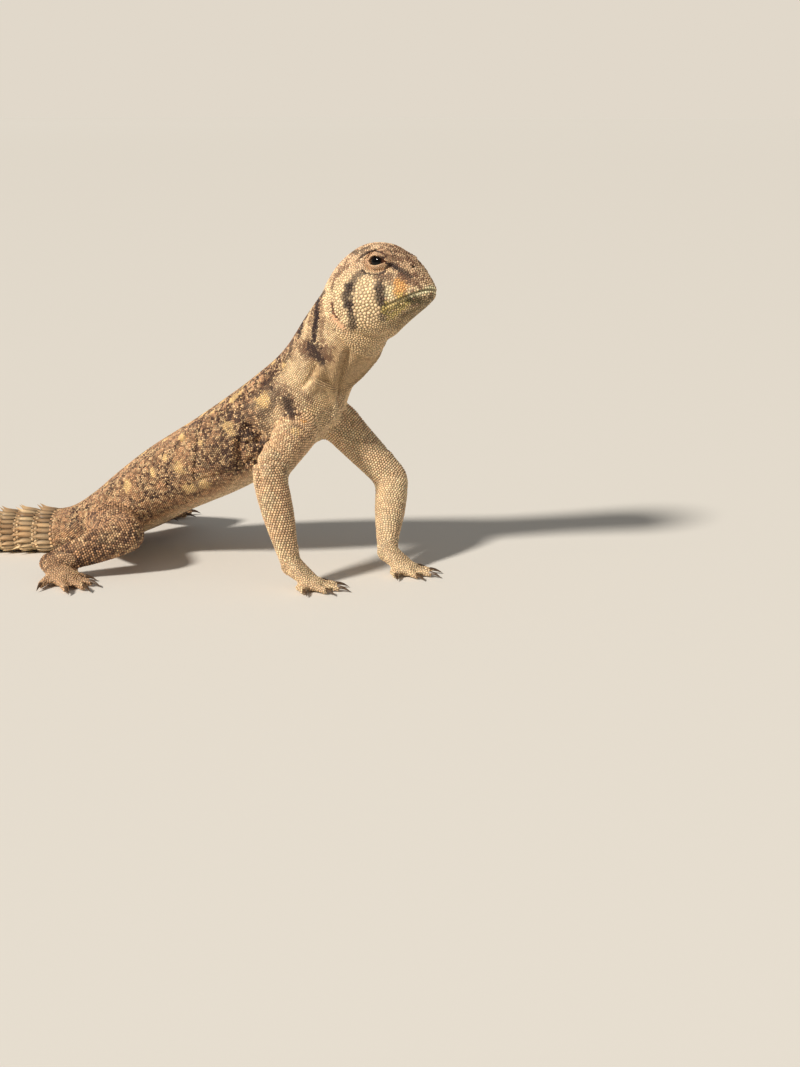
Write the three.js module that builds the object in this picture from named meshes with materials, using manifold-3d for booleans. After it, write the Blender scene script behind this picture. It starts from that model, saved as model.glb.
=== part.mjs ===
// A life-size, still uromastyx, propped up on its forelegs with its head raised and its tail on the floor.
// Millimetres and degrees. +X runs from hips to shoulders, +Z is up, and the floor is at Z = 0.

import * as THREE from 'three';
import { mergeVertices } from 'three/addons/utils/BufferGeometryUtils.js';
import Module from 'manifold-3d';

const wasm = await Module();
wasm.setup();

const { degToRad, lerp, clamp } = THREE.MathUtils;

// The gap that keeps neighbouring pieces apart
const GAP = 0.3;

// The body line, from the tip of the tail to the back of the head. "at" is the distance from the hips
// along it, "yaw" its heading, "height" how far it runs above the floor, and the rest is the section round it.
const BODY = [
  { at: -122, yaw: 24, height: 2.3, halfWidth: 2.0, up: 1.6, down: 2.4 },
  { at: -90, yaw: 28, height: 3.9, halfWidth: 6.0, up: 3.8, down: 4.2 },
  { at: -60, yaw: 27, height: 5.4, halfWidth: 9.0, up: 5.2, down: 5.8 },
  { at: -30, yaw: 21, height: 6.3, halfWidth: 11.4, up: 6.2, down: 6.7 },
  { at: -14, yaw: 16, height: 6.9, halfWidth: 12.2, up: 6.7, down: 7.2 },
  { at: 0, yaw: 11, height: 12.4, halfWidth: 14.6, up: 8.6, down: 10.2 },
  { at: 10, yaw: 9, height: 18.0, halfWidth: 16.2, up: 9.6, down: 11.8 },
  { at: 23, yaw: 6, height: 24.9, halfWidth: 18.4, up: 10.8, down: 12.8 },
  { at: 45, yaw: -1, height: 35.2, halfWidth: 20.5, up: 12.2, down: 14.2 },
  { at: 66, yaw: -6, height: 46.4, halfWidth: 18.2, up: 12.8, down: 14.4 },
  { at: 78, yaw: -10, height: 54.2, halfWidth: 15.4, up: 12.2, down: 14.0 },
  { at: 88, yaw: -13, height: 61.9, halfWidth: 12.4, up: 11.0, down: 11.6 },
  { at: 100, yaw: -14, height: 71.4, halfWidth: 11.2, up: 11.4, down: 13.0 },
  { at: 114, yaw: -15, height: 82.2, halfWidth: 10.6, up: 11.4, down: 13.4 },
];
const BODY_STEP = 0.5;
const BODY_SQUARENESS = 0.88;
const TRUNK_BACK = -16;
const NECK_FRONT = 117;
const TRUNK_RINGS = 28;
const TRUNK_SIDES = 24;
const TRUNK_CAP = 4;

// Where the body is parted: along the body line
const VENT = -14;
const NECK_BASE = 90;
const TAIL_CUTS = [-42, -68, -94];

// The head, in its own frame: origin on the body line between the ears, x towards the snout
const HEAD = { at: 112.0, lift: 2.2, yaw: -14, pitch: 18, roll: -10 };
const HEAD_STATIONS = [
  { x: -6.0, halfWidth: 10.0, top: 9.2, bottom: -12.4 },
  { x: -2.0, halfWidth: 11.8, top: 12.0, bottom: -13.8 },
  { x: 3.0, halfWidth: 12.5, top: 14.3, bottom: -14.4 },
  { x: 8.0, halfWidth: 12.0, top: 15.2, bottom: -13.4 },
  { x: 12.0, halfWidth: 10.9, top: 14.4, bottom: -12.0 },
  { x: 16.0, halfWidth: 9.4, top: 12.1, bottom: -10.5 },
  { x: 20.0, halfWidth: 7.5, top: 8.7, bottom: -9.2 },
  { x: 23.0, halfWidth: 5.7, top: 5.3, bottom: -8.2 },
  { x: 25.5, halfWidth: 3.7, top: 1.2, bottom: -6.8 },
];
const HEAD_BACK = -9;
const SNOUT = { x: 27.0, z: -3.6 };
const HEAD_WIDEST = 0.4;
const HEAD_RINGS = 22;
const HEAD_SIDES = 30;
const HEAD_CAP = { front: 2.2, back: 3 };
const HEAD_SQUARENESS = 0.94;
const JAW_SQUARENESS = 1.12;
const HEAD_CUT = { x: -5.5, pitch: 34 };

// Eyes, lids, brows, nostrils, ears and mouth, in the head's frame, with "out" to either side
const EYE = { x: 14.6, out: 6.1, z: 6.7, radius: 3.3 };
const EYE_FACING = { forward: 16, up: 14 };
const LID = { length: 4.7, height: 4.2, depth: 4.2 };
const LID_OPENING = { length: 2.9, height: 1.4, depth: 3.0, tilt: -14 };
const BROW = { x: 14.2, z: 10.8, length: 5.5, spread: 2.6, rise: 0.8 };
const NOSTRIL = { x: 24.4, out: 3.9, z: 3.4, radius: 0.75, depth: 1.2 };
const EAR = { x: 0.0, out: 11.6, z: -7.2, length: 3.6, width: 1.0, depth: 1.6, tilt: 24 };
const MOUTH = { front: -4.0, corner: 14.8, drop: 2.4, thickness: 0.4, depth: 0.75 };
const LIP = { spread: 1.1, rise: 0.35 };
const MOUTH_SHEET = { steps: 6, ahead: 3, width: 40 };
const SEGMENTS = { eye: 16, socket: 12, lid: 12, opening: 10, ear: 12, nostril: 8 };

// The tail's whorls of spines
const WHORL = { first: -18, last: -117, longest: 6.2, shortest: 3.8, step: 0.6, lastStep: 0.3 };
// The rings of a whorl ahead of its spines: how far back each lies, and how much of the step is left there
const WHORL_RINGS = [{ share: 0.12, sunk: 1 }, { share: 0.58, sunk: 0.35 }];
const TAIL_SPINE = { backward: 2.3, outward: 1.5, smallest: 0.5, flank: 1, back: 0.75, reach: 118 };
const TAIL_SPINE_SIZES = { least: 0.85, range: 0.3 };
const SPINES_AROUND = 12;
const SPINE_SEED = 17;
const TAIL_FRONT = { at: -4, cap: 2, scale: 0.8, step: 4 };
const TAIL_ROOT_SCALE = 0.97;
const TAIL_END = { before: 1.2, scale: 0.75 };

// The limbs: "at", "out" and "drop" place the joint in the trunk, and each length has a heading.
const LIMBS = [
  {
    name: 'front_right', side: -1, at: 75, out: 11.0, drop: 11.4,
    upper: { length: 22.5, yaw: -93, rise: -25 },
    lower: { length: 27, yaw: 6, ankle: 8.0 },
    foot: { yaw: 2 },
  },
  {
    name: 'front_left', side: 1, at: 75, out: 11.4, drop: 11.4,
    upper: { length: 25, yaw: 16, rise: -46 },
    lower: { length: 26, yaw: -76, ankle: 7.0 },
    foot: { yaw: -8 },
  },
  {
    name: 'hind_right', side: -1, at: 1, out: 10.5, drop: 3,
    upper: { length: 26, yaw: -50, rise: 4 },
    lower: { length: 25, yaw: -142, ankle: 5.0 },
    foot: { yaw: -30 },
  },
  {
    name: 'hind_left', side: 1, at: 1, out: 10.5, drop: 3,
    upper: { length: 26, yaw: 72, rise: 3 },
    lower: { length: 25, yaw: 160, ankle: 5.0 },
    foot: { yaw: 46 },
  },
];
const FORE = {
  upper: [[0, 6.6], [0.45, 6.0], [1, 5.2]],
  lower: [[0, 5.2], [0.35, 5.3], [1, 3.2]],
  palm: { length: 7.5, halfWidth: 4.6, thickness: 2.6 },
  digits: [
    { fan: -52, length: 5.2 },
    { fan: -24, length: 7.4 },
    { fan: 0, length: 8.2 },
    { fan: 24, length: 7.4 },
    { fan: 54, length: 5.2 },
  ],
  digitRadius: 1.25,
  ankleCut: 1.5,
};
const HIND = {
  upper: [[0, 8.2], [0.5, 7.2], [1, 5.4]],
  lower: [[0, 5.4], [0.35, 5.4], [1, 3.4]],
  palm: { length: 9.5, halfWidth: 5.0, thickness: 2.8 },
  digits: [
    { fan: -42, length: 5.6 },
    { fan: -20, length: 8.6 },
    { fan: 0, length: 10.6 },
    { fan: 20, length: 11.4 },
    { fan: 50, length: 7.2 },
  ],
  digitRadius: 1.35,
  ankleCut: 1.5,
};
const CLAW = { length: 3.2, radius: 0.72, sunk: 1.2, tipHeight: 0.35, sides: 5 };
// Each ring of a toe: how far along it lies, and how thick the toe is there, from the tip back
const DIGIT_RINGS = [[1, 0.66], [0.78, 0.96], [0.35, 1.06], [0, 1.15]];
// Heights along a toe's arch, and where the claw leaves it, in radii of the toe
const DIGIT_ARCH = { root: 1.1, knuckle: 1.6, tip: 0.8, flatness: 0.92, end: 0.5, claw: 0.25 };
// The sole's rounded ends, and its heel and ball as shares of the palm's sizes
const SOLE = { cap: 3, rings: 2, heelWidth: 0.68, heelRise: 0.55, ballRise: 0.85, ballHeight: 0.75 };
// The toes leave the sole on a bow
const TOE_ROOTS = { setBack: 0.45, spread: 0.72 };
const LIMB_SIDES = 12;
const LIMB_RINGS = 4;
const LIMB_CAP = 0.8;
const SOLE_SIDES = 10;
const DIGIT_SIDES = 6;
const CUT_SIZE = { axis: 44, limb: 18, foot: 16 };

// Where the rings of a rounded end lie, as angles from its tip
const FINE_CAP = [28, 52, 74];
const COARSE_CAP = [32, 62];

const FLOOR = { size: 600, depth: 40 };

// Turns a closed geometry into a solid, its shared corners merged
function solid(geometry) {
  const bare = geometry.clone();
  bare.deleteAttribute('normal');
  bare.deleteAttribute('uv');
  const merged = mergeVertices(bare, 1e-5);
  return new wasm.Manifold(new wasm.Mesh({
    numProp: 3,
    vertProperties: new Float32Array(merged.attributes.position.array),
    triVerts: new Uint32Array(merged.index.array),
  }));
}

// Wraps a ball's grid round a line: its rings become the given sections, its poles the closed ends
function loft(sections, sides, start, end) {
  const ball = new THREE.SphereGeometry(1, sides, sections.length + 1);
  ball.deleteAttribute('normal');
  ball.deleteAttribute('uv');
  const shell = mergeVertices(ball, 1e-5);
  const spots = shell.attributes.position;
  const spot = new THREE.Vector3();
  for (let i = 0; i < spots.count; i++) {
    spot.fromBufferAttribute(spots, i);
    const ring = Math.round((Math.acos(clamp(spot.y, -1, 1)) / Math.PI) * (sections.length + 1));
    if (ring === 0) {
      spot.copy(start);
    } else if (ring === sections.length + 1) {
      spot.copy(end);
    } else {
      spot.copy(sections[ring - 1](Math.atan2(spot.z, spot.x)));
    }
    spots.setXYZ(i, spot.x, spot.y, spot.z);
  }
  return solid(shell);
}

// A smooth table: values at named places, read anywhere between them
function smoothTable(rows, key, names) {
  const places = rows.map((row) => row[key]);
  const values = rows.flatMap((row) => names.map((name) => row[name]));
  const curve = new THREE.CubicInterpolant(places, values, names.length);
  return (at) => {
    const read = curve.evaluate(clamp(at, places[0], places[places.length - 1]));
    return Object.fromEntries(names.map((name, i) => [name, read[i]]));
  };
}

// A squared oval: how far a section reaches to the right and up at an angle
function oval(angle, size, above, below) {
  const squareness = Math.sin(angle) > 0 ? above : below;
  const side = Math.sign(Math.cos(angle)) * Math.abs(Math.cos(angle)) ** squareness;
  const rise = Math.sign(Math.sin(angle)) * Math.abs(Math.sin(angle)) ** squareness;
  return { right: side * size.halfWidth, up: rise * (rise > 0 ? size.up : size.down) };
}

function heading(yaw, rise) {
  const flat = Math.cos(degToRad(rise));
  return new THREE.Vector3(
    flat * Math.cos(degToRad(yaw)),
    flat * Math.sin(degToRad(yaw)),
    Math.sin(degToRad(rise)),
  );
}

// Ring places from front to back, with extra rings where an end is rounded
function ringPlaces(front, back, count, frontCap, backCap, capAngles) {
  const places = [];
  const inside = front - frontCap;
  const last = back + backCap;
  for (const angle of frontCap > 0 ? capAngles : []) {
    places.push({ at: front - frontCap * (1 - Math.cos(degToRad(angle))), scale: Math.sin(degToRad(angle)) });
  }
  for (let i = 0; i <= count; i++) {
    places.push({ at: lerp(inside, last, i / count), scale: 1 });
  }
  for (const angle of backCap > 0 ? [...capAngles].reverse() : []) {
    places.push({ at: back + backCap * (1 - Math.cos(degToRad(angle))), scale: Math.sin(degToRad(angle)) });
  }
  return places;
}

// The body line
const bodyAt = smoothTable(BODY, 'at', ['yaw', 'height', 'halfWidth', 'up', 'down']);

function stepAlong(from, to) {
  const rise = bodyAt(to).height - bodyAt(from).height;
  const flat = Math.sqrt((to - from) ** 2 - rise ** 2) * Math.sign(to - from);
  const yaw = degToRad(bodyAt((from + to) / 2).yaw);
  return new THREE.Vector3(flat * Math.cos(yaw), flat * Math.sin(yaw), rise);
}

const bodyLine = new Map([[0, new THREE.Vector3(0, 0, bodyAt(0).height)]]);
for (const way of [1, -1]) {
  const end = way > 0 ? NECK_FRONT : BODY[0].at;
  for (let i = 0; Math.abs(i * BODY_STEP) < Math.abs(end); i += way) {
    const step = stepAlong(i * BODY_STEP, (i + way) * BODY_STEP);
    bodyLine.set(i + way, bodyLine.get(i).clone().add(step));
  }
}

// A point of the body line, with the directions forward, right and up there
function bodyFrame(at) {
  const place = clamp(at, BODY[0].at, NECK_FRONT - BODY_STEP) / BODY_STEP;
  const before = Math.floor(place);
  const start = bodyLine.get(before);
  const next = bodyLine.get(before + 1);
  const origin = start.clone().lerp(next, place - before);
  const forward = next.clone().sub(start).normalize();
  const right = forward.clone().cross(new THREE.Vector3(0, 0, 1)).normalize();
  return { origin, forward, right, up: right.clone().cross(forward) };
}

function fromFrame(frame, forward, right, up) {
  return frame.origin.clone()
    .addScaledVector(frame.forward, forward)
    .addScaledVector(frame.right, right)
    .addScaledVector(frame.up, up);
}

function bodySection(at, scale, grow) {
  const frame = bodyFrame(at);
  const size = bodyAt(at);
  return (angle) => {
    const reach = oval(angle, size, BODY_SQUARENESS, BODY_SQUARENESS);
    const away = new THREE.Vector2(reach.right, reach.up).multiplyScalar(scale);
    away.setLength(away.length() + grow * scale);
    return fromFrame(frame, 0, away.x, away.y);
  };
}

// Trunk and neck in one, with an even margin if "grow" asks for one
function trunkAndNeck(grow) {
  const places = ringPlaces(NECK_FRONT, TRUNK_BACK, TRUNK_RINGS, TRUNK_CAP, TRUNK_CAP, FINE_CAP);
  const sections = places.map((place) => bodySection(place.at, place.scale, grow));
  return loft(sections, TRUNK_SIDES, bodyFrame(NECK_FRONT).origin, bodyFrame(TRUNK_BACK).origin);
}

// The head's frame, and solids placed in it
const headFrame = new THREE.Matrix4().makeRotationFromEuler(new THREE.Euler(
  degToRad(HEAD.roll), degToRad(-HEAD.pitch), degToRad(HEAD.yaw), 'ZYX',
)).setPosition(bodyFrame(HEAD.at).origin.add(new THREE.Vector3(0, 0, HEAD.lift)));

function inHead(geometry) {
  return solid(geometry.applyMatrix4(headFrame));
}

const headAt = smoothTable(HEAD_STATIONS, 'x', ['halfWidth', 'top', 'bottom']);

function bell(distance, spread) {
  return Math.exp(-((distance / spread) ** 2));
}

function mouthHeight(x) {
  const back = clamp((SNOUT.x - x) / (SNOUT.x - MOUTH.corner), 0, 1.5);
  return MOUTH.front - MOUTH.drop * back;
}

function headSection(x, scale, grow) {
  const { halfWidth, top, bottom } = headAt(x);
  const widest = lerp(lerp(bottom, top, HEAD_WIDEST), SNOUT.z, 1 - scale);
  const size = { halfWidth, up: top - widest, down: widest - bottom };
  return (angle) => {
    const reach = oval(angle, size, HEAD_SQUARENESS, JAW_SQUARENESS);
    const away = new THREE.Vector2(reach.right, reach.up).multiplyScalar(scale);
    const z = widest + away.y;
    const brow = BROW.rise * bell(x - BROW.x, BROW.length) * bell(z - BROW.z, BROW.spread);
    const fromLip = Math.abs(Math.abs(z - mouthHeight(x)) - LIP.spread);
    const lip = x > MOUTH.corner ? LIP.rise * bell(fromLip, LIP.spread * 0.7) : 0;
    away.setLength(away.length() + (brow + lip) * scale + grow);
    return new THREE.Vector3(x, -away.x, widest + away.y).applyMatrix4(headFrame);
  };
}

function skull(grow) {
  const places = ringPlaces(SNOUT.x + grow, HEAD_BACK, HEAD_RINGS, HEAD_CAP.front, HEAD_CAP.back, FINE_CAP);
  const sections = places.map((place) => headSection(place.at, place.scale, grow));
  const tip = new THREE.Vector3(SNOUT.x + grow, 0, SNOUT.z).applyMatrix4(headFrame);
  const back = new THREE.Vector3(HEAD_BACK, 0, SNOUT.z).applyMatrix4(headFrame);
  return loft(sections, HEAD_SIDES, tip, back);
}

// An ellipsoid in the head's frame, on the right (side -1) or the left (side 1)
function headBall(radii, place, side, turn, segments) {
  const ball = new THREE.SphereGeometry(1, segments, Math.round(segments * 0.6));
  ball.scale(radii.x, radii.y, radii.z);
  ball.applyMatrix4(new THREE.Matrix4().makeRotationFromEuler(turn));
  ball.translate(place.x, place.out * side, place.z);
  return inHead(ball);
}

function eyeTurn(side) {
  return new THREE.Euler(degToRad(EYE_FACING.up) * side, 0, degToRad(-EYE_FACING.forward) * side, 'ZYX');
}

function eyeBall(side, radius, segments) {
  const radii = new THREE.Vector3(radius, radius, radius);
  return headBall(radii, EYE, side, eyeTurn(side), segments);
}

function lidMound(side) {
  const radii = new THREE.Vector3(LID.length, LID.depth, LID.height);
  return headBall(radii, EYE, side, eyeTurn(side), SEGMENTS.lid);
}

function lidOpening(side) {
  const turn = eyeTurn(side);
  turn.y = degToRad(-LID_OPENING.tilt);
  const out = new THREE.Vector3(0, side * EYE.radius, 0).applyEuler(turn);
  const place = { x: EYE.x + out.x, out: EYE.out + out.y * side, z: EYE.z + out.z };
  const radii = new THREE.Vector3(LID_OPENING.length, LID_OPENING.depth, LID_OPENING.height);
  return headBall(radii, place, side, turn, SEGMENTS.opening);
}

function earSlit(side) {
  const radii = new THREE.Vector3(EAR.width, EAR.depth, EAR.length);
  return headBall(radii, EAR, side, new THREE.Euler(0, degToRad(EAR.tilt), 0), SEGMENTS.ear);
}

function nostril(side) {
  const radii = new THREE.Vector3(NOSTRIL.radius, NOSTRIL.depth, NOSTRIL.radius);
  return headBall(radii, NOSTRIL, side, new THREE.Euler(0, 0, 0), SEGMENTS.nostril);
}

// The line of the mouth: a thin bent sheet less the inside of the head
function mouthLine() {
  const sheet = new THREE.Shape();
  const { steps, ahead, width } = MOUTH_SHEET;
  const front = SNOUT.x + ahead;
  for (let i = 0; i <= steps; i++) {
    const x = lerp(front, MOUTH.corner, i / steps);
    const z = mouthHeight(x) + MOUTH.thickness / 2;
    if (i === 0) {
      sheet.moveTo(x, z);
    } else {
      sheet.lineTo(x, z);
    }
  }
  for (let i = steps; i >= 0; i--) {
    const x = lerp(front, MOUTH.corner, i / steps);
    sheet.lineTo(x, mouthHeight(x) - MOUTH.thickness / 2);
  }
  const slab = new THREE.ExtrudeGeometry(sheet, { depth: width, bevelEnabled: false, steps: 1 });
  slab.translate(0, 0, -width / 2);
  slab.rotateX(Math.PI / 2);
  return inHead(slab).subtract(skull(-MOUTH.depth));
}

// Seeded random numbers from 0 to 1
function seededRandom(seed) {
  let state = seed;
  return () => {
    state = (state * 1664525 + 1013904223) % 4294967296;
    return state / 4294967296;
  };
}

// The places of the whorls, each shorter than the one before it
function whorlPlaces() {
  const places = [];
  let at = WHORL.first;
  while (at > WHORL.last) {
    const share = (at - WHORL.first) / (WHORL.last - WHORL.first);
    const length = lerp(WHORL.longest, WHORL.shortest, share);
    places.push({ front: at, back: at - length, share });
    at -= length;
  }
  return places;
}

// The ring at the back edge of a whorl: every second corner is drawn out into a spine over the next whorl,
// from flank to flank across the back
function spineRing(whorl, random) {
  const { least, range } = TAIL_SPINE_SIZES;
  const sizes = Array.from({ length: SPINES_AROUND }, () => least + range * random());
  const valley = bodySection(lerp(whorl.back, whorl.front, 0.1), 1, 0);
  return (angle) => {
    const corner = Math.round((angle / Math.PI) * SPINES_AROUND + 2 * SPINES_AROUND);
    const spot = valley(angle);
    const fromTop = Math.abs(THREE.MathUtils.RAD2DEG * Math.atan2(Math.cos(angle), Math.sin(angle)));
    if (corner % 2 === 0 || fromTop > TAIL_SPINE.reach) {
      return spot;
    }
    const frame = bodyFrame(whorl.back);
    const out = spot.clone().sub(frame.origin).normalize();
    const atFlank = lerp(TAIL_SPINE.back, TAIL_SPINE.flank, Math.abs(Math.cos(angle)));
    const size = lerp(1, TAIL_SPINE.smallest, whorl.share) * atFlank * sizes[(corner >> 1) % SPINES_AROUND];
    return spot
      .addScaledVector(frame.forward, -TAIL_SPINE.backward * size)
      .addScaledVector(out, TAIL_SPINE.outward * size);
  };
}

// The tail: each whorl swells towards its spined back edge and drops to the next one
function spinyTail() {
  const random = seededRandom(SPINE_SEED);
  const sections = [];
  for (let at = TAIL_FRONT.at; at > WHORL.first; at -= TAIL_FRONT.step) {
    sections.push(bodySection(at, at === TAIL_FRONT.at ? TAIL_FRONT.scale : TAIL_ROOT_SCALE, 0));
  }
  for (const whorl of whorlPlaces()) {
    const step = lerp(WHORL.step, WHORL.lastStep, whorl.share);
    for (const ring of WHORL_RINGS) {
      sections.push(bodySection(lerp(whorl.front, whorl.back, ring.share), 1, -step * ring.sunk));
    }
    sections.push(spineRing(whorl, random));
  }
  sections.push(bodySection(BODY[0].at + TAIL_END.before, TAIL_END.scale, 0));
  const front = bodyFrame(TAIL_FRONT.at + TAIL_FRONT.cap).origin;
  return loft(sections, SPINES_AROUND * 2, front, bodyFrame(BODY[0].at).origin);
}

// A round loft along points, with the radius read from [share, radius] rows
function limbLoft(start, end, radii) {
  const rows = radii.map(([share, radius]) => ({ share, radius }));
  const radiusAt = smoothTable(rows, 'share', ['radius']);
  const forward = start.clone().sub(end).normalize();
  const aside = Math.abs(forward.z) > 0.9 ? new THREE.Vector3(1, 0, 0) : new THREE.Vector3(0, 0, 1);
  const right = forward.clone().cross(aside).normalize();
  const up = right.clone().cross(forward);
  const length = start.distanceTo(end);
  const capStart = radiusAt(0).radius * LIMB_CAP;
  const capEnd = radiusAt(1).radius * LIMB_CAP;
  const places = ringPlaces(length + capStart, -capEnd, LIMB_RINGS, capStart, capEnd, COARSE_CAP);
  const sections = places.map((place) => (angle) => {
    const radius = radiusAt(1 - place.at / length).radius * place.scale;
    return end.clone()
      .addScaledVector(forward, place.at)
      .addScaledVector(right, Math.cos(angle) * radius)
      .addScaledVector(up, Math.sin(angle) * radius);
  });
  const first = end.clone().addScaledVector(forward, length + capStart);
  const last = end.clone().addScaledVector(forward, -capEnd);
  return loft(sections, LIMB_SIDES, first, last);
}

// A claw: a cone with a few sides, its root sunk into the toe
function claw(root, tip) {
  const direction = tip.clone().sub(root).normalize();
  const length = root.distanceTo(tip) + CLAW.sunk;
  const cone = new THREE.ConeGeometry(CLAW.radius, length, CLAW.sides, 1);
  cone.translate(0, length / 2 - CLAW.sunk, 0);
  cone.applyQuaternion(new THREE.Quaternion().setFromUnitVectors(new THREE.Vector3(0, 1, 0), direction));
  cone.translate(root.x, root.y, root.z);
  return solid(cone);
}

// A toe arched over its knuckle, with a claw that points down to the floor
function digit(root, yaw, length, radius) {
  const ahead = heading(yaw, 0);
  const knuckle = root.clone().addScaledVector(ahead, length * 0.5).setZ(radius * DIGIT_ARCH.knuckle);
  const tip = root.clone().addScaledVector(ahead, length).setZ(radius * DIGIT_ARCH.tip);
  const arch = new THREE.QuadraticBezierCurve3(root, knuckle, tip);
  const across = ahead.clone().cross(new THREE.Vector3(0, 0, 1));
  const sections = DIGIT_RINGS.map(([share, scale]) => (angle) => {
    const lift = arch.getTangentAt(share).cross(across).negate().normalize();
    return arch.getPointAt(share)
      .addScaledVector(across, Math.cos(angle) * radius * scale)
      .addScaledVector(lift, Math.sin(angle) * radius * scale * DIGIT_ARCH.flatness);
  });
  const end = tip.clone().addScaledVector(ahead, radius * DIGIT_ARCH.end);
  const start = root.clone().addScaledVector(ahead, -radius);
  const toe = loft(sections, DIGIT_SIDES, end, start);
  const clawRoot = tip.clone().setZ(tip.z + radius * DIGIT_ARCH.claw);
  const clawTip = clawRoot.clone().addScaledVector(ahead, CLAW.length).setZ(CLAW.tipHeight);
  return toe.add(claw(clawRoot, clawTip));
}

// The sole and its five toes, wrist or ankle first
function foot(ankle, yaw, side, kind) {
  const ahead = heading(yaw, 0);
  const across = heading(yaw + 90, 0);
  const heel = ankle.clone();
  const ball = ankle.clone().addScaledVector(ahead, kind.palm.length);
  ball.z = kind.palm.thickness * SOLE.ballHeight;
  const { cap, rings } = SOLE;
  const places = ringPlaces(kind.palm.length + cap, -cap, rings, cap, cap, COARSE_CAP);
  const sections = places.map((place) => (angle) => {
    const share = clamp(place.at / kind.palm.length, 0, 1);
    const centre = heel.clone().lerp(ball, share).addScaledVector(ahead, place.at - share * kind.palm.length);
    const width = lerp(kind.palm.halfWidth * SOLE.heelWidth, kind.palm.halfWidth, share) * place.scale;
    const rise = lerp(heel.z * SOLE.heelRise, kind.palm.thickness * SOLE.ballRise, share) * place.scale;
    return centre
      .addScaledVector(across, -Math.cos(angle) * width)
      .add(new THREE.Vector3(0, 0, Math.sin(angle) * rise));
  });
  const front = ball.clone().addScaledVector(ahead, SOLE.cap);
  const back = heel.clone().addScaledVector(ahead, -SOLE.cap);
  let sole = loft(sections, SOLE_SIDES, front, back);
  kind.digits.forEach((toe, i) => {
    const spread = (i / (kind.digits.length - 1) - 0.5) * 2;
    const root = heel.clone().lerp(ball, 1 - TOE_ROOTS.setBack * spread ** 2)
      .addScaledVector(across, spread * kind.palm.halfWidth * TOE_ROOTS.spread * side);
    root.z = kind.digitRadius * DIGIT_ARCH.root;
    sole = sole.add(digit(root, yaw + toe.fan * side, toe.length, kind.digitRadius));
  });
  return sole;
}

// A thin box that parts a solid at a point, square to a direction
function cutAt(point, direction, size) {
  const slab = new THREE.BoxGeometry(GAP, size, size);
  const across = new THREE.Vector3(1, 0, 0);
  slab.applyQuaternion(new THREE.Quaternion().setFromUnitVectors(across, direction.clone().normalize()));
  slab.translate(point.x, point.y, point.z);
  return solid(slab);
}

const underFloor = new THREE.BoxGeometry(FLOOR.size, FLOOR.size, FLOOR.depth);
underFloor.translate(0, 0, -FLOOR.depth / 2);
const underFloorSolid = solid(underFloor);

// The piece of a parted solid whose middle lies closest to a point
function pieceNear(pieces, point) {
  const middle = (piece) => {
    const box = piece.boundingBox();
    return new THREE.Vector3(...box.min).add(new THREE.Vector3(...box.max)).multiplyScalar(0.5);
  };
  return pieces.reduce((best, piece) => (
    middle(piece).distanceTo(point) < middle(best).distanceTo(point) ? piece : best
  ));
}

// The joints of a limb, from trunk to ankle
function limbJoints(limb) {
  const frame = bodyFrame(limb.at);
  const root = fromFrame(frame, 0, -limb.out * limb.side, -limb.drop);
  const middle = root.clone().addScaledVector(heading(limb.upper.yaw, limb.upper.rise), limb.upper.length);
  const fall = (middle.z - limb.lower.ankle) / limb.lower.length;
  const rise = -Math.asin(clamp(fall, -1, 1)) * THREE.MathUtils.RAD2DEG;
  const end = middle.clone().addScaledVector(heading(limb.lower.yaw, rise), limb.lower.length);
  return { root, middle, end };
}

// A limb in three pieces, parted at its middle joint and its ankle, and clear of the trunk
function limbPieces(limb, keepOff) {
  const kind = limb.name.startsWith('front') ? FORE : HIND;
  const { root, middle, end } = limbJoints(limb);
  const upper = limbLoft(root, middle, kind.upper);
  const lower = limbLoft(middle, end, kind.lower);
  const sole = foot(end, limb.foot.yaw, limb.side, kind);
  const along = middle.clone().sub(root).normalize();
  const down = end.clone().sub(middle).normalize();
  const ankle = end.clone().addScaledVector(down, -kind.ankleCut);
  const whole = upper.add(lower).add(sole)
    .subtract(cutAt(middle, along.add(down), CUT_SIZE.limb))
    .subtract(cutAt(ankle, down.add(heading(limb.foot.yaw, 0)), CUT_SIZE.foot))
    .subtract(keepOff)
    .subtract(underFloorSolid);
  const pieces = whole.decompose();
  const footMiddle = end.clone().addScaledVector(heading(limb.foot.yaw, 0), kind.palm.length);
  return {
    upper: pieceNear(pieces, root.clone().lerp(middle, 0.6)),
    lower: pieceNear(pieces, middle.clone().lerp(end, 0.5)),
    foot: pieceNear(pieces, footMiddle),
  };
}

// Colours and finishes
const skinTan = new THREE.MeshStandardMaterial({ color: 0xc9a97c, roughness: 0.82, metalness: 0 });
const skinPale = new THREE.MeshStandardMaterial({ color: 0xd8bf94, roughness: 0.8, metalness: 0 });
const tailBrown = new THREE.MeshStandardMaterial({ color: 0xa88a64, roughness: 0.8, metalness: 0 });
const eyeDark = new THREE.MeshStandardMaterial({ color: 0x20120b, roughness: 0.12, metalness: 0 });

const uromastyx = new THREE.Group();

function addPiece(name, piece, material) {
  const { vertProperties, triVerts } = piece.getMesh();
  const geometry = new THREE.BufferGeometry();
  geometry.setAttribute('position', new THREE.BufferAttribute(vertProperties, 3));
  geometry.setIndex(new THREE.BufferAttribute(triVerts, 1));
  geometry.computeVertexNormals();
  const mesh = new THREE.Mesh(geometry, material);
  mesh.name = name;
  uromastyx.add(mesh);
}

// Head, neck, trunk and tail as one body, then parted across the body line
let head = skull(0);
for (const side of [-1, 1]) {
  head = head.add(lidMound(side));
}
head = head.subtract(mouthLine());
for (const side of [-1, 1]) {
  head = head.subtract(nostril(side)).subtract(earSlit(side));
}
let axis = trunkAndNeck(0).add(head);
for (const side of [-1, 1]) {
  axis = axis.subtract(eyeBall(side, EYE.radius + GAP, SEGMENTS.socket)).subtract(lidOpening(side));
}
axis = axis.add(spinyTail()).subtract(underFloorSolid);

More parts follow.
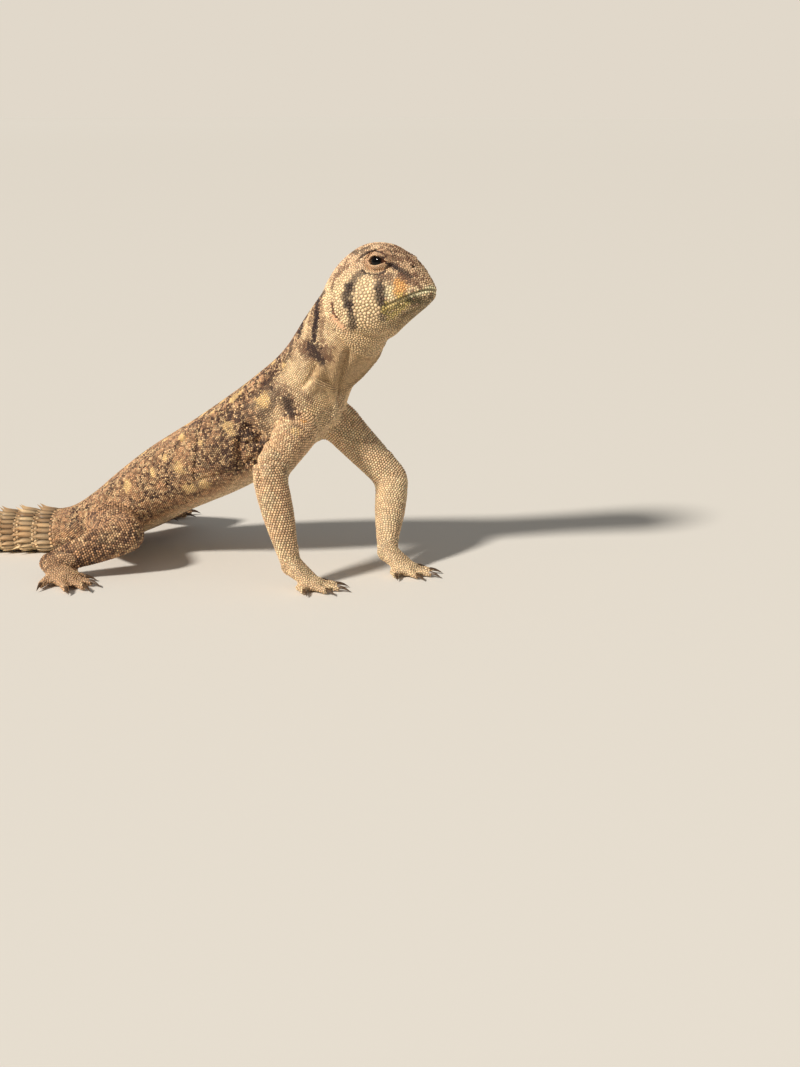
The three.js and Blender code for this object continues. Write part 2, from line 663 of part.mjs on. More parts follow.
const headCutPoint = new THREE.Vector3(HEAD_CUT.x, 0, 0).applyMatrix4(headFrame);
const headCutWay = heading(bodyAt(NECK_FRONT).yaw, HEAD_CUT.pitch);
axis = axis.subtract(cutAt(headCutPoint, headCutWay, CUT_SIZE.axis));
for (const at of [NECK_BASE, VENT, ...TAIL_CUTS]) {
  const frame = bodyFrame(at);
  axis = axis.subtract(cutAt(frame.origin, frame.forward, CUT_SIZE.axis));
}
const axisPieces = axis.decompose();
const middleOf = (from, to) => bodyFrame((from + to) / 2).origin;
const headMiddle = new THREE.Vector3(SNOUT.x / 2, 0, 0).applyMatrix4(headFrame);
addPiece('head', pieceNear(axisPieces, headMiddle), skinTan);
addPiece('neck', pieceNear(axisPieces, middleOf(NECK_BASE, HEAD.at - 4)), skinTan);
addPiece('torso', pieceNear(axisPieces, middleOf(VENT, NECK_BASE)), skinTan);
addPiece('tail_base', pieceNear(axisPieces, middleOf(VENT, TAIL_CUTS[0])), tailBrown);
addPiece('tail_upper', pieceNear(axisPieces, middleOf(TAIL_CUTS[0], TAIL_CUTS[1])), tailBrown);
addPiece('tail_lower', pieceNear(axisPieces, middleOf(TAIL_CUTS[1], TAIL_CUTS[2])), tailBrown);
addPiece('tail_tip', pieceNear(axisPieces, middleOf(TAIL_CUTS[2], BODY[0].at)), tailBrown);
addPiece('eye_right', eyeBall(-1, EYE.radius, SEGMENTS.eye), eyeDark);
addPiece('eye_left', eyeBall(1, EYE.radius, SEGMENTS.eye), eyeDark);

// The limbs
const keepOff = trunkAndNeck(GAP);
for (const limb of LIMBS) {
  const pieces = limbPieces(limb, keepOff);
  const isFront = limb.name.startsWith('front');
  addPiece(`${limb.name}_${isFront ? 'upper_arm' : 'thigh'}`, pieces.upper, skinTan);
  addPiece(`${limb.name}_${isFront ? 'forearm' : 'shank'}`, pieces.lower, skinPale);
  addPiece(`${limb.name}_${isFront ? 'hand' : 'foot'}`, pieces.foot, skinPale);
}

// The origin under the middle of the body's box
const box = new THREE.Box3().setFromObject(uromastyx);
const middle = box.getCenter(new THREE.Vector3());
uromastyx.position.set(-middle.x, -middle.y, -box.min.z);
uromastyx.updateMatrixWorld(true);

export default uromastyx;
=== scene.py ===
# %% [markdown]
# A life-size uromastyx, a plump lizard with a spiny tail, propped up on its forelegs.
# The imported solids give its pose, its sizes and its box. This script dresses them: one soft skin over all the
# flesh, small scales set close over the skin, whorls of spines round the tail, lids, eyes and claws.
# The frame is in metres. All numbers and arrays below are in millimetres, and MM turns them into metres.

# %% Load the frame
import math
from itertools import product

import bpy
import numpy as np
from numpy.linalg import norm
from mathutils import Euler, Matrix, Vector, noise
from mathutils.bvhtree import BVHTree
from mathutils.kdtree import KDTree


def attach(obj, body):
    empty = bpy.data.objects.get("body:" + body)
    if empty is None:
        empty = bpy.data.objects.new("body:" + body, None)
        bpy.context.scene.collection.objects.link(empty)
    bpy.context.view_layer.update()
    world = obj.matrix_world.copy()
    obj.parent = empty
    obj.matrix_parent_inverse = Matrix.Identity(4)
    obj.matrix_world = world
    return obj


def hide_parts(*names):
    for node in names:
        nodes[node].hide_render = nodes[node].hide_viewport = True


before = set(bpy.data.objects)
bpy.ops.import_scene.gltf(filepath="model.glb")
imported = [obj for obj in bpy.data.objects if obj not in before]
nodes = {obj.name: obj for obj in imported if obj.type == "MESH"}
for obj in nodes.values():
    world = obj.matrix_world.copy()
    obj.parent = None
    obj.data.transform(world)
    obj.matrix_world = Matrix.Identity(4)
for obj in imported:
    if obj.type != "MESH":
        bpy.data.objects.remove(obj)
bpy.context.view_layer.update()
MM = 0.001

# %% [markdown]
# The camera comes first, because many folds and markings are placed by looking through it: a pixel of the
# 800 by 1067 picture becomes a ray, and where the ray meets the skin is the place on the animal.
# It stands off the animal's right shoulder, a little above it, and looks down by twelve degrees.

# %% Camera
PICTURE = (800, 1067)
FOCAL_PIXELS = 2000
SENSOR = 36.0
CAMERA_TURN = math.radians(20)
CAMERA_DIP = math.radians(12)
HIP_IN_VIEW = np.array([-68.2, 27.0, 0.0])
CAMERA_IN_VIEW = np.array([23.6, -599.9, 138.4])
HIP_SHIFT = np.array([-1.141, -1.455, 0.0])


def turned(vector, angle):
    """A vector turned about the upright axis."""
    c, s = math.cos(angle), math.sin(angle)
    x, y, z = vector
    return np.array([c * x - s * y, s * x + c * y, z])


camera_place = (turned(CAMERA_IN_VIEW - HIP_IN_VIEW, CAMERA_TURN) + HIP_SHIFT) * MM
camera_data = bpy.data.cameras.new("camera")
camera_data.sensor_fit = "VERTICAL"
camera_data.sensor_height = SENSOR
camera_data.lens = FOCAL_PIXELS * SENSOR / PICTURE[1]
camera_data.clip_start = 0.01
camera = bpy.data.objects.new("camera", camera_data)
camera.location = Vector(camera_place)
camera.rotation_euler = Euler((math.pi / 2 - CAMERA_DIP, 0, CAMERA_TURN), "XYZ")
bpy.context.scene.collection.objects.link(camera)
bpy.context.scene.camera = camera
bpy.context.view_layer.update()
camera_turn = camera.matrix_world.to_3x3()
print("camera at", [round(v / MM) for v in camera.location], "lens", round(camera_data.lens, 1))


def pixel_ray(x, y):
    """The direction in which the camera sees a pixel of the picture."""
    aim = Vector((x - PICTURE[0] / 2, PICTURE[1] / 2 - y, -FOCAL_PIXELS))
    return (camera_turn @ aim).normalized()


# %% [markdown]
# The body line runs from the tip of the tail to the back of the head. The solids were lofted round it, so
# the same stations, with the same smooth curve through them, tell this script where a point of the skin lies
# along the body and how far round its girth. That pair of numbers places rows of scales, whorls and markings.

# %% Body line
# Distance from the hips, heading, height, half width, reach above and reach below
BODY = [
    (-122, 24, 2.3, 2.0, 1.6, 2.4),
    (-90, 28, 3.9, 6.0, 3.8, 4.2),
    (-60, 27, 5.4, 9.0, 5.2, 5.8),
    (-30, 21, 6.3, 11.4, 6.2, 6.7),
    (-14, 16, 6.9, 12.2, 6.7, 7.2),
    (0, 11, 12.4, 14.6, 8.6, 10.2),
    (10, 9, 18.0, 16.2, 9.6, 11.8),
    (23, 6, 24.9, 18.4, 10.8, 12.8),
    (45, -1, 35.2, 20.5, 12.2, 14.2),
    (66, -6, 46.4, 18.2, 12.8, 14.4),
    (78, -10, 54.2, 15.4, 12.2, 14.0),
    (88, -13, 61.9, 12.4, 11.0, 11.6),
    (100, -14, 71.4, 11.2, 11.4, 13.0),
    (114, -15, 82.2, 10.6, 11.4, 13.4),
]
BODY_STEP = 0.5
BODY_SQUARENESS = 0.88
NECK_FRONT = 117
POINTS_AT_ONCE = 4000


def smooth_table(rows):
    """A smooth curve through rows of (place, value, value, ...), read at any places."""
    table = np.array(rows, float)
    at, values = table[:, 0], table[:, 1:]

    def read(places):
        t = np.clip(np.atleast_1d(places), at[0], at[-1])
        i = np.clip(np.searchsorted(at, t, side="right"), 1, len(at) - 1)
        before, after = np.maximum(i - 2, 0), np.minimum(i + 1, len(at) - 1)
        t0, t1 = at[i - 1], at[i]
        start = np.where(i >= 2, at[before], t1)
        end = np.where(i < len(at) - 1, at[after], t0)
        p0 = np.where((i >= 2)[:, None], values[before], values[i])
        p3 = np.where((i < len(at) - 1)[:, None], values[after], values[i - 1])
        half = (t1 - t0) / 2
        wp, wn = half / (t0 - start), half / (end - t1)
        p = (t - t0) / (t1 - t0)
        pp, ppp = p * p, p * p * p
        s0 = -wp * ppp + 2 * wp * pp - wp * p
        s1 = (1 + wp) * ppp + (-1.5 - 2 * wp) * pp + (-0.5 + wp) * p + 1
        s2 = (-1 - wn) * ppp + (1.5 + wn) * pp + 0.5 * p
        s3 = wn * ppp - wn * pp
        shares = (s0[:, None], s1[:, None], s2[:, None], s3[:, None])
        return shares[0] * p0 + shares[1] * values[i - 1] + shares[2] * values[i] + shares[3] * p3

    return read


body_at = smooth_table(BODY)


def trace_body_line():
    """Points of the body line every half millimetre, worked out from the hips both ways."""
    points = {0: np.array([0.0, 0.0, body_at(0)[0, 1]])}
    for way, end in ((1, NECK_FRONT), (-1, BODY[0][0])):
        i = 0
        while abs(i * BODY_STEP) < abs(end):
            here, there = i * BODY_STEP, (i + way) * BODY_STEP
            rise = body_at(there)[0, 1] - body_at(here)[0, 1]
            flat = math.copysign(math.sqrt(BODY_STEP ** 2 - rise ** 2), way)
            yaw = math.radians(body_at((here + there) / 2)[0, 0])
            points[i + way] = points[i] + np.array([flat * math.cos(yaw), flat * math.sin(yaw), rise])
            i += way
    order = sorted(points)
    return np.array(order) * BODY_STEP, np.array([points[i] for i in order]) + HIP_SHIFT


def unit(vectors):
    return vectors / np.maximum(norm(vectors, axis=-1, keepdims=True), 1e-9)


line_at, line_points = trace_body_line()
line_ahead = unit(np.gradient(line_points, axis=0))
line_right = unit(np.cross(line_ahead, [0.0, 0.0, 1.0]))
line_up = np.cross(line_right, line_ahead)


def on_line(values, at):
    """Reads an array that is stored along the body line at any distances from the hips."""
    return np.stack([np.interp(at, line_at, values[:, k]) for k in range(3)], axis=-1)


def line_axes(at):
    """A place on the body line, and the directions ahead, to the right and up there."""
    place = np.array([float(at)])
    return [on_line(part, place)[0] for part in (line_points, line_ahead, line_right, line_up)]


def body_place(points):
    """How far along the body each point lies, and its angle round it: 0 at the back, plus to the right."""
    at = np.empty(len(points))
    for start in range(0, len(points), POINTS_AT_ONCE):
        part = slice(start, start + POINTS_AT_ONCE)
        gaps = ((points[part, None, :] - line_points[None, ::2, :]) ** 2).sum(-1)
        at[part] = line_at[::2][gaps.argmin(1)]
    for _ in range(2):
        ahead = on_line(line_ahead, at)
        at = np.clip(at + ((points - on_line(line_points, at)) * ahead).sum(-1), line_at[0], line_at[-1])
    offset = points - on_line(line_points, at)
    right = (offset * on_line(line_right, at)).sum(-1)
    up = (offset * on_line(line_up, at)).sum(-1)
    return at, np.arctan2(right, up)


print("body line:", len(line_at), "points, from", line_at[0], "to", line_at[-1])

# %% [markdown]
# The head has its own frame: its origin between the ears, x towards the snout, y to the left, z up.
# The animal holds its head turned a little to the right, tipped up and leaning, as the solids do.

# %% Head frame
HEAD = {"at": 112.0, "lift": 2.2, "yaw": -14, "pitch": 18, "roll": -10}
SNOUT_X = 27.0
MOUTH = {"front": -4.0, "corner": 14.8, "drop": 2.4}
EYE = np.array([14.6, 6.1, 6.7])
EYE_RADIUS = 3.3
EYE_FORWARD = math.radians(2)
EYE_UP = math.radians(4)

head_turn = np.array(
    Matrix.Rotation(math.radians(HEAD["yaw"]), 3, "Z")
    @ Matrix.Rotation(math.radians(-HEAD["pitch"]), 3, "Y")
    @ Matrix.Rotation(math.radians(HEAD["roll"]), 3, "X")
)
head_origin = line_axes(HEAD["at"])[0] + np.array([0, 0, HEAD["lift"]])


def to_head(points):
    return (points - head_origin) @ head_turn


def from_head(points):
    return np.asarray(points) @ head_turn.T + head_origin


def mouth_height(x):
    back = np.clip((SNOUT_X - x) / (SNOUT_X - MOUTH["corner"]), 0, 1.5)
    return MOUTH["front"] - MOUTH["drop"] * back


def ease(value, low, high):
    """Runs smoothly from 0 to 1 as a value goes from low to high."""
    share = np.clip((value - low) / (high - low), 0, 1)
    return share * share * (3 - 2 * share)


def bell(value, spread):
    return np.exp(-((value / spread) ** 2))


print("head origin", head_origin.round(1))

# %% [markdown]
# The limbs. Each one leaves the body line at a known place, and its bones run from the shoulder or hip to the
# elbow or knee and on to the ankle. This is the solids' own recipe, so the claws and the rows of scales that
# are set along these lines fit the flesh.

# %% Limbs and toes
# Name, side, place on the body line, reach out and drop, upper length, yaw and rise, lower length and yaw,
# height of the ankle, and yaw of the foot
LIMBS = [
    ("front_right", -1, 75, 11.0, 11.4, (22.5, -93, -25), (27, 6), 8.0, 2),
    ("front_left", 1, 75, 11.4, 11.4, (25, 16, -46), (26, -76), 7.0, -8),
    ("hind_right", -1, 1, 10.5, 3.0, (26, -50, 4), (25, -142), 5.0, -30),
    ("hind_left", 1, 1, 10.5, 3.0, (26, 72, 3), (25, 160), 5.0, 46),
]
FORE_FOOT = {
    "palm": 7.5, "half_width": 4.6, "ball": 1.95, "radius": 1.25,
    "toes": [(-52, 5.2), (-24, 7.4), (0, 8.2), (24, 7.4), (54, 5.2)],
}
HIND_FOOT = {
    "palm": 9.5, "half_width": 5.0, "ball": 2.1, "radius": 1.35,
    "toes": [(-42, 5.6), (-20, 8.6), (0, 10.6), (20, 11.4), (50, 7.2)],
}
TOE_SET_BACK = 0.45
TOE_SPREAD = 0.72
# Height of the toe's root and tip, and of the claw's root over the tip, in shares of the toe's radius
TOE_HEIGHT = {"root": 1.1, "tip": 0.8, "claw": 0.25}
CLAW_LENGTH = 3.2
CLAW_TIP_HEIGHT = 0.35


def heading(yaw, rise=0.0):
    yaw, rise = math.radians(yaw), math.radians(rise)
    return np.array([math.cos(rise) * math.cos(yaw), math.cos(rise) * math.sin(yaw), math.sin(rise)])


def limb_joints(limb):
    """Shoulder or hip, elbow or knee, and ankle of a limb."""
    _, side, at, out, drop, upper, lower, ankle, _ = limb
    origin, _, right, up = line_axes(at)
    root = origin - out * side * right - drop * up
    middle = root + upper[0] * heading(upper[1], upper[2])
    fall = (middle[2] - ankle) / lower[0]
    return root, middle, middle + lower[0] * heading(lower[1], -math.degrees(math.asin(fall)))


def toes_of(limb):
    """Root, tip, claw root and claw tip of each toe of a limb."""
    name, side, yaw = limb[0], limb[1], limb[8]
    kind = FORE_FOOT if name.startswith("front") else HIND_FOOT
    ankle = limb_joints(limb)[2]
    ball = ankle + kind["palm"] * heading(yaw)
    ball[2] = kind["ball"]
    found = []
    for i, (fan, length) in enumerate(kind["toes"]):
        spread = i / 2 - 1
        root = ankle + (ball - ankle) * (1 - TOE_SET_BACK * spread ** 2)
        root = root + spread * kind["half_width"] * TOE_SPREAD * side * heading(yaw + 90)
        root[2] = kind["radius"] * TOE_HEIGHT["root"]
        ahead = heading(yaw + fan * side)
        tip = root + ahead * length
        tip[2] = kind["radius"] * TOE_HEIGHT["tip"]
        claw_root = tip + np.array([0, 0, kind["radius"] * TOE_HEIGHT["claw"]])
        claw_tip = claw_root + ahead * CLAW_LENGTH
        claw_tip[2] = CLAW_TIP_HEIGHT
        found.append((root, tip, claw_root, claw_tip))
    return found


limb_bones = {limb[0]: limb_joints(limb) for limb in LIMBS}
limb_toes = {limb[0]: toes_of(limb) for limb in LIMBS}
print("ankles:", [limb_bones[limb[0]][2].round(1).tolist() for limb in LIMBS])

# %% [markdown]
# The skin starts as copies of the flesh solids, swollen until they close the thin gaps between them. The tail
# is a bare core here, without its spines: they are coat and come later. A voxel remesh melts all of this into
# one closed surface, as skin is.
# The copies are joined and remeshed with Blender's own operators, as one would by hand.

# %% Start of the skin
SWELL = 0.25
VOXEL = 0.8
TAIL_END = -120.5
TAIL_NODES = ("tail_base", "tail_upper", "tail_lower", "tail_tip")
WHORL = {"first": -18, "last": -117, "longest": 6.2, "shortest": 3.8, "step": 0.6, "last_step": 0.3}
FIRST_WHORL_STEP = 0.15
CORE = {"sides": 40, "first": -2.0, "step": -0.6, "end_size": 0.9}
flesh_names = [name for name in nodes if not name.startswith("tail_")]


def set_mode(mode):
    bpy.ops.object.mode_set(mode=mode)


def select_only(pieces):
    """Selects these objects and no others, with the first one active."""
    bpy.ops.object.select_all(action="DESELECT")
    for piece in pieces:
        piece.select_set(True)
    bpy.context.view_layer.objects.active = pieces[0]


def edit_whole(piece, operator, **options):
    """Runs one mesh operator on all of a piece, in edit mode."""
    select_only([piece])
    set_mode("EDIT")
    bpy.ops.mesh.select_all(action="SELECT")
    operator(**options)
    set_mode("OBJECT")


def corners(mesh):
    """The corners of a mesh as an array in millimetres."""
    flat = np.empty(len(mesh.vertices) * 3, np.float64)
    mesh.vertices.foreach_get("co", flat)
    return flat.reshape(-1, 3) / MM


def put_corners(mesh, points):
    mesh.vertices.foreach_set("co", (np.asarray(points) * MM).astype(np.float32).ravel())
    mesh.update()


def normals(mesh):
    flat = np.empty(len(mesh.vertices) * 3, np.float64)
    mesh.vertex_normals.foreach_get("vector", flat)
    return flat.reshape(-1, 3)


def new_piece(name, points, faces, flat=True):
    """A mesh object from millimetre points and lists of corner numbers, shaded flat or smooth."""
    mesh = bpy.data.meshes.new(name)
    mesh.from_pydata([tuple(p) for p in np.asarray(points) * MM], [], faces, shade_flat=flat)
    mesh.update()
    piece = bpy.data.objects.new(name, mesh)
    bpy.context.scene.collection.objects.link(piece)
    return piece


def flesh_copy(name):
    """A merged copy of a solid's mesh, a little swollen."""
    piece = bpy.data.objects.new("flesh_" + name, nodes[name].data.copy())
    piece.data.materials.clear()
    bpy.context.scene.collection.objects.link(piece)
    edit_whole(piece, bpy.ops.mesh.remove_doubles, threshold=1e-6)
    put_corners(piece.data, corners(piece.data) + SWELL * normals(piece.data))
    return piece


def whorls():
    """Front, back and share along the tail of each whorl, each shorter than the one before it."""
    places, at = [], WHORL["first"]
    while at > WHORL["last"]:
        share = (at - WHORL["first"]) / (WHORL["last"] - WHORL["first"])
        length = WHORL["longest"] + (WHORL["shortest"] - WHORL["longest"]) * share
        places.append((at, at - length, share))
        at -= length
    return places + [(at, TAIL_END, 1.0)]


def body_ring(at, angles, sink=0.0, scale=1.0):
    """Points round the body at a distance from the hips, sunk a little below the solid's surface."""
    half_width, up, down = body_at(at)[0, 2:]
    side, rise = np.sin(angles), np.cos(angles)
    side = np.sign(side) * np.abs(side) ** BODY_SQUARENESS * half_width
    rise = np.sign(rise) * np.abs(rise) ** BODY_SQUARENESS * np.where(rise > 0, up, down)
    reach = np.hypot(side, rise)
    shrink = scale * (reach - sink) / reach
    centre, _, right, above = line_axes(at)
    return centre + np.outer(side * shrink, right) + np.outer(rise * shrink, above)


def whorl_sink(at):
    """How far the tail's core lies below the body's section: most just behind a row of spines."""
    for front, back, share in whorls():
        if back <= at <= front:
            part = (front - at) / (front - back)
            step = WHORL["step"] + (WHORL["last_step"] - WHORL["step"]) * share
            return step * (1 - part) * (FIRST_WHORL_STEP if share == 0 else 1.0)
    return 0.0


def tail_core():
    """The tail without its spines, as a closed tube."""
    sides = CORE["sides"]
    angles = np.linspace(0, 2 * math.pi, sides, endpoint=False)
    places = np.arange(CORE["first"], BODY[0][0] + 1, CORE["step"])
    sizes = np.where(places == places[0], CORE["end_size"], 1.0)
    rings = [body_ring(at, angles, whorl_sink(at) - SWELL, size) for at, size in zip(places, sizes)]
    points = np.concatenate(rings)
    points[:, 2] = np.maximum(points[:, 2], -SWELL)
    faces = []
    for i in range(len(places) - 1):
        for k in range(sides):
            a, b = i * sides + k, i * sides + (k + 1) % sides
            faces.append((a, b, b + sides, a + sides))
    faces.append(tuple(range(sides - 1, -1, -1)))
    faces.append(tuple(range((len(places) - 1) * sides, len(places) * sides)))
    core = new_piece("flesh_tail", points, faces)
    edit_whole(core, bpy.ops.mesh.normals_make_consistent, inside=False)
    return core


flesh = [flesh_copy(name) for name in flesh_names] + [tail_core()]
select_only(flesh)
bpy.ops.object.join()
skin = bpy.context.view_layer.objects.active
skin.name = "skin"
skin.data.name = "skin"
skin.data.remesh_voxel_size = VOXEL * MM
bpy.ops.object.voxel_remesh()
print("skin after the remesh:", len(skin.data.vertices), "corners")

# %% [markdown]
# Each corner of the skin learns which solid it lies on, by its nearest face. Smoothing takes the facets out.
# It is stronger on the trunk than on the toes, which would melt away. Then the skin is drawn in, so that the
# scales that stand on it reach out just as far as the solids do.

# %% Smooth the skin and draw it in
COAT_DEPTH = 0.3
FINE_DEPTH = 0.12
FINE_WEIGHT = 0.45
PLAIN_WEIGHT = 0.8
FINE_PASSES = 4
# The nodes that are smoothed further, and how many times
SMOOTHER = ((("torso", "neck", "arm", "thigh"), 16), (("head", "shank", "forearm"), 4))
TOE_CUT = {"full": 1.0, "reach": 1.6, "length": 6}
LOWEST = 0.02
FLESH = flesh_names + list(TAIL_NODES)


def tree_of(points, faces):
    return BVHTree.FromPolygons([tuple(p) for p in points], faces)


def solids_tree():
    """One search tree over all the solids, and the node that each of its faces belongs to."""
    points, faces, owners = [], [], []
    for number, name in enumerate(FLESH):
        mesh = nodes[name].data
        start = len(points)
        points.extend(corners(mesh))
        faces.extend(tuple(start + v for v in face.vertices) for face in mesh.polygons)
        owners.extend([number] * len(mesh.polygons))
    return tree_of(points, faces), np.array(owners)


solid_tree, solid_owner = solids_tree()


def owner_of(points):
    """The number in FLESH of the solid nearest to each point."""
    return np.array([solid_owner[solid_tree.find_nearest(Vector(p))[2]] for p in points])


def is_one_of(owners, *words):
    """True where the owner's name holds one of the words."""
    wanted = [number for number, name in enumerate(FLESH) if any(word in name for word in words)]
    return np.isin(owners, wanted)


def draw_back(points, root, tip):
    """Flattens what lies ahead of a claw's root, close to its line, so that the toe ends there."""
    way = (tip - root) / norm(tip - root)
    along = (points - root) @ way
    away = norm(points - root - np.outer(along, way), axis=1)
    near = (away < TOE_CUT["reach"]) & (along > 0) & (along < TOE_CUT["length"])
    ahead = np.where(near, along * (1 - ease(away, TOE_CUT["full"], TOE_CUT["reach"])), 0)
    return points - np.outer(ahead, way)


def relax(points, weight, passes):
    """Draws each corner of the skin towards the middle of its neighbours."""
    ends = np.empty(len(skin.data.edges) * 2, np.int64)
    skin.data.edges.foreach_get("vertices", ends)
    ends = ends.reshape(-1, 2)
    count = np.bincount(ends.ravel(), minlength=len(points))[:, None]
    for _ in range(passes):
        total = np.stack([
            np.bincount(ends[:, 0], points[ends[:, 1], k], len(points))
            + np.bincount(ends[:, 1], points[ends[:, 0], k], len(points))
            for k in range(3)
        ], axis=-1)
        points = points + weight[:, None] * 0.5 * (total / count - points)
    return points


points = corners(skin.data)
owners = owner_of(points)
for toes in limb_toes.values():
    for _, _, claw_root, claw_tip in toes:
        points = draw_back(points, claw_root, claw_tip)
fine = is_one_of(owners, "hand", "foot")
points = relax(points, np.where(fine, FINE_WEIGHT, PLAIN_WEIGHT), FINE_PASSES)
for words, passes in SMOOTHER:
    points = relax(points, is_one_of(owners, *words).astype(float), passes)
put_corners(skin.data, points)
points = points - (SWELL + np.where(fine, FINE_DEPTH, COAT_DEPTH))[:, None] * normals(skin.data)
points[:, 2] = np.maximum(points[:, 2], LOWEST)
put_corners(skin.data, points)
print("skin drawn in, its box:", points.min(0).round(1), points.max(0).round(1))

# %% [markdown]
# Many forms are set from the picture. The helpers here throw a pixel, or a smooth line of pixels, onto
# the skin, find the same place on the other side of the animal, and measure how far points lie from a line.

# %% Helpers that draw on the skin through the camera
camera_eye = np.array(camera.location) / MM
SIGHT_REACHES = range(480, 720, 2)
# A fold fades at both ends. The rise beside it stands off by so many widths and is so many widths wide
FOLD_ENDS = (0.18, 0.82)
FOLD_REACH = 8
RISE_OFF = 2.0
RISE_WIDTH = 1.3


def skin_tree():
    return tree_of(corners(skin.data), [tuple(face.vertices) for face in skin.data.polygons])


def sight(tree, x, y):
    """The place on the skin that the camera sees at a pixel, or the nearest to the line of sight."""
    way = pixel_ray(x, y)
    hit = tree.ray_cast(Vector(camera_eye), way)[0]
    if hit is None:
        found = [tree.find_nearest(Vector(camera_eye) + way * far) for far in SIGHT_REACHES]
        hit = min(found, key=lambda place: place[3])[0]
    return np.array(hit)


def smooth_line(points, steps=5):
    """More points on a smooth curve through a few."""
    points = np.array(points, float)
    ends = np.concatenate([[2 * points[0] - points[1]], points, [2 * points[-1] - points[-2]]])
    found = []
    for i in range(1, len(ends) - 2):
        for t in np.arange(steps) / steps:
            p0, p1, p2, p3 = ends[i - 1:i + 3]
            found.append(0.5 * (2 * p1 + (p2 - p0) * t + (2 * p0 - 5 * p1 + 4 * p2 - p3) * t * t
                                + (3 * p1 - p0 - 3 * p2 + p3) * t ** 3))
    found.append(points[-1])
    return np.array(found)


def line_on_skin(tree, pixels):
    """A line of pixels thrown onto the skin as a smooth curve."""
    drawn = smooth_line(pixels) if len(pixels) > 1 else np.array(pixels, float)
    return np.array([sight(tree, x, y) for x, y in drawn])


def other_side(tree, points, on_the_head):
    """The same places on the animal's other side, set down on the skin."""
    if on_the_head:
        moved = from_head(to_head(points) * np.array([1, -1, 1]))
        return np.array([np.array(tree.find_nearest(Vector(p))[0]) for p in moved])
    at, angle = body_place(points)
    centre = on_line(line_points, at)
    away = -np.sin(angle)[:, None] * on_line(line_right, at) + np.cos(angle)[:, None] * on_line(line_up, at)
    found = []
    for middle, way in zip(centre, away):
        hit = tree.ray_cast(Vector(middle), Vector(way))
        found.append(np.array(hit[0]) if hit[0] is not None else middle)
    return np.array(found)


def gap_to_line(points, line):
    """Distance of each point from a line of points, how far along the line it lies, and the vector to it."""
    best = np.full(len(points), 1e9)
    share = np.zeros(len(points))
    away = np.zeros((len(points), 3))
    tangent = np.zeros((len(points), 3))
    if len(line) == 1:
        away = points - line[0]
        return norm(away, axis=1), share + 0.5, away, tangent
    for i in range(len(line) - 1):
        start, way = line[i], line[i + 1] - line[i]
        t = np.clip((points - start) @ way / max(way @ way, 1e-9), 0, 1)
        gap = points - start - np.outer(t, way)
        length = norm(gap, axis=1)
        closer = length < best
        best[closer] = length[closer]
        share[closer] = ((i + t) / (len(line) - 1))[closer]
        away[closer] = gap[closer]
        tangent[closer] = way / norm(way)
    return best, share, away, tangent


def fold_push(points, outward, line, depth, width, rise):
    """How far each corner moves out, in millimetres, for one fold."""
    near = np.where(np.abs(points - line.mean(0)).max(1) < np.ptp(line, axis=0).max() + FOLD_REACH * width)[0]
    gap, share, away, tangent = gap_to_line(points[near], line)
    taper = ease(share, 0, FOLD_ENDS[0]) * (1 - ease(share, FOLD_ENDS[1], 1))
    beside = np.sign((np.cross(tangent, outward[near]) * away).sum(-1))
    push = np.zeros(len(points))
    beside_it = rise * bell(beside * gap - RISE_OFF * width, RISE_WIDTH * width)
    push[near] = taper * (beside_it - depth * bell(gap, width))
    return push


def both_sides(tree, pixels, where):
    """A line or place on the skin, and its mirror place."""
    line = line_on_skin(tree, pixels)
    return (line, other_side(tree, line, where == "head"))


print("drawing helpers ready")

# %% [markdown]
# The head needs more corners than the trunk for its lids, lips, nostrils and ear slits. Its faces are divided
# once all over, and once more round the eyes, along the mouth, and at the nostrils and ears.

# %% Finer mesh on the head
NOSTRIL = (24.0, 3.1, 3.9)
EAR_PIXELS = [(332.5, 303), (333, 309), (335, 315), (338.5, 320)]
# Where the finer mesh begins on the head, and how near an eye, the mouth line or a spot it is finer still
FINER = {"head": -5, "eye": 6.4, "mouth": 1.0, "spot": 1.8}
first_tree = skin_tree()
nostril_aims = from_head(np.array([[1, -1, 1], [1, 1, 1]]) * NOSTRIL)
nostril_spots = np.array([first_tree.find_nearest(Vector(spot))[0][:] for spot in nostril_aims])
ear_lines = both_sides(first_tree, EAR_PIXELS, "head")


def divide_where(piece, chosen):
    """Divides the faces whose middles are chosen, in edit mode."""
    mesh = piece.data
    middles = np.empty(len(mesh.polygons) * 3)
    mesh.polygons.foreach_get("center", middles)
    wanted = chosen(middles.reshape(-1, 3) / MM)
    select_only([piece])
    set_mode("EDIT")
    bpy.ops.mesh.select_all(action="DESELECT")
    bpy.ops.mesh.select_mode(type="FACE")
    set_mode("OBJECT")
    mesh.polygons.foreach_set("select", wanted)
    set_mode("EDIT")
    bpy.ops.mesh.subdivide(number_cuts=1, smoothness=0.0)
    set_mode("OBJECT")
    print("divided", int(wanted.sum()), "faces, now", len(mesh.vertices), "corners")


def on_head(middles):
    return to_head(middles)[:, 0] > FINER["head"]


def at_features(middles):
    local = to_head(middles)
    side = np.stack([local[:, 0], np.abs(local[:, 1]), local[:, 2]], axis=-1)
    chosen = norm(side - EYE, axis=1) < FINER["eye"]
    off_mouth = np.abs(local[:, 2] - mouth_height(local[:, 0]))
    chosen |= (local[:, 0] > MOUTH["corner"] - 2) & (off_mouth < FINER["mouth"])
    for spot in nostril_spots:
        chosen |= norm(middles - spot, axis=1) < FINER["spot"]
    for line in ear_lines:
        chosen |= gap_to_line(middles, line)[0] < FINER["spot"]
    return chosen


divide_where(skin, on_head)
divide_where(skin, at_features)

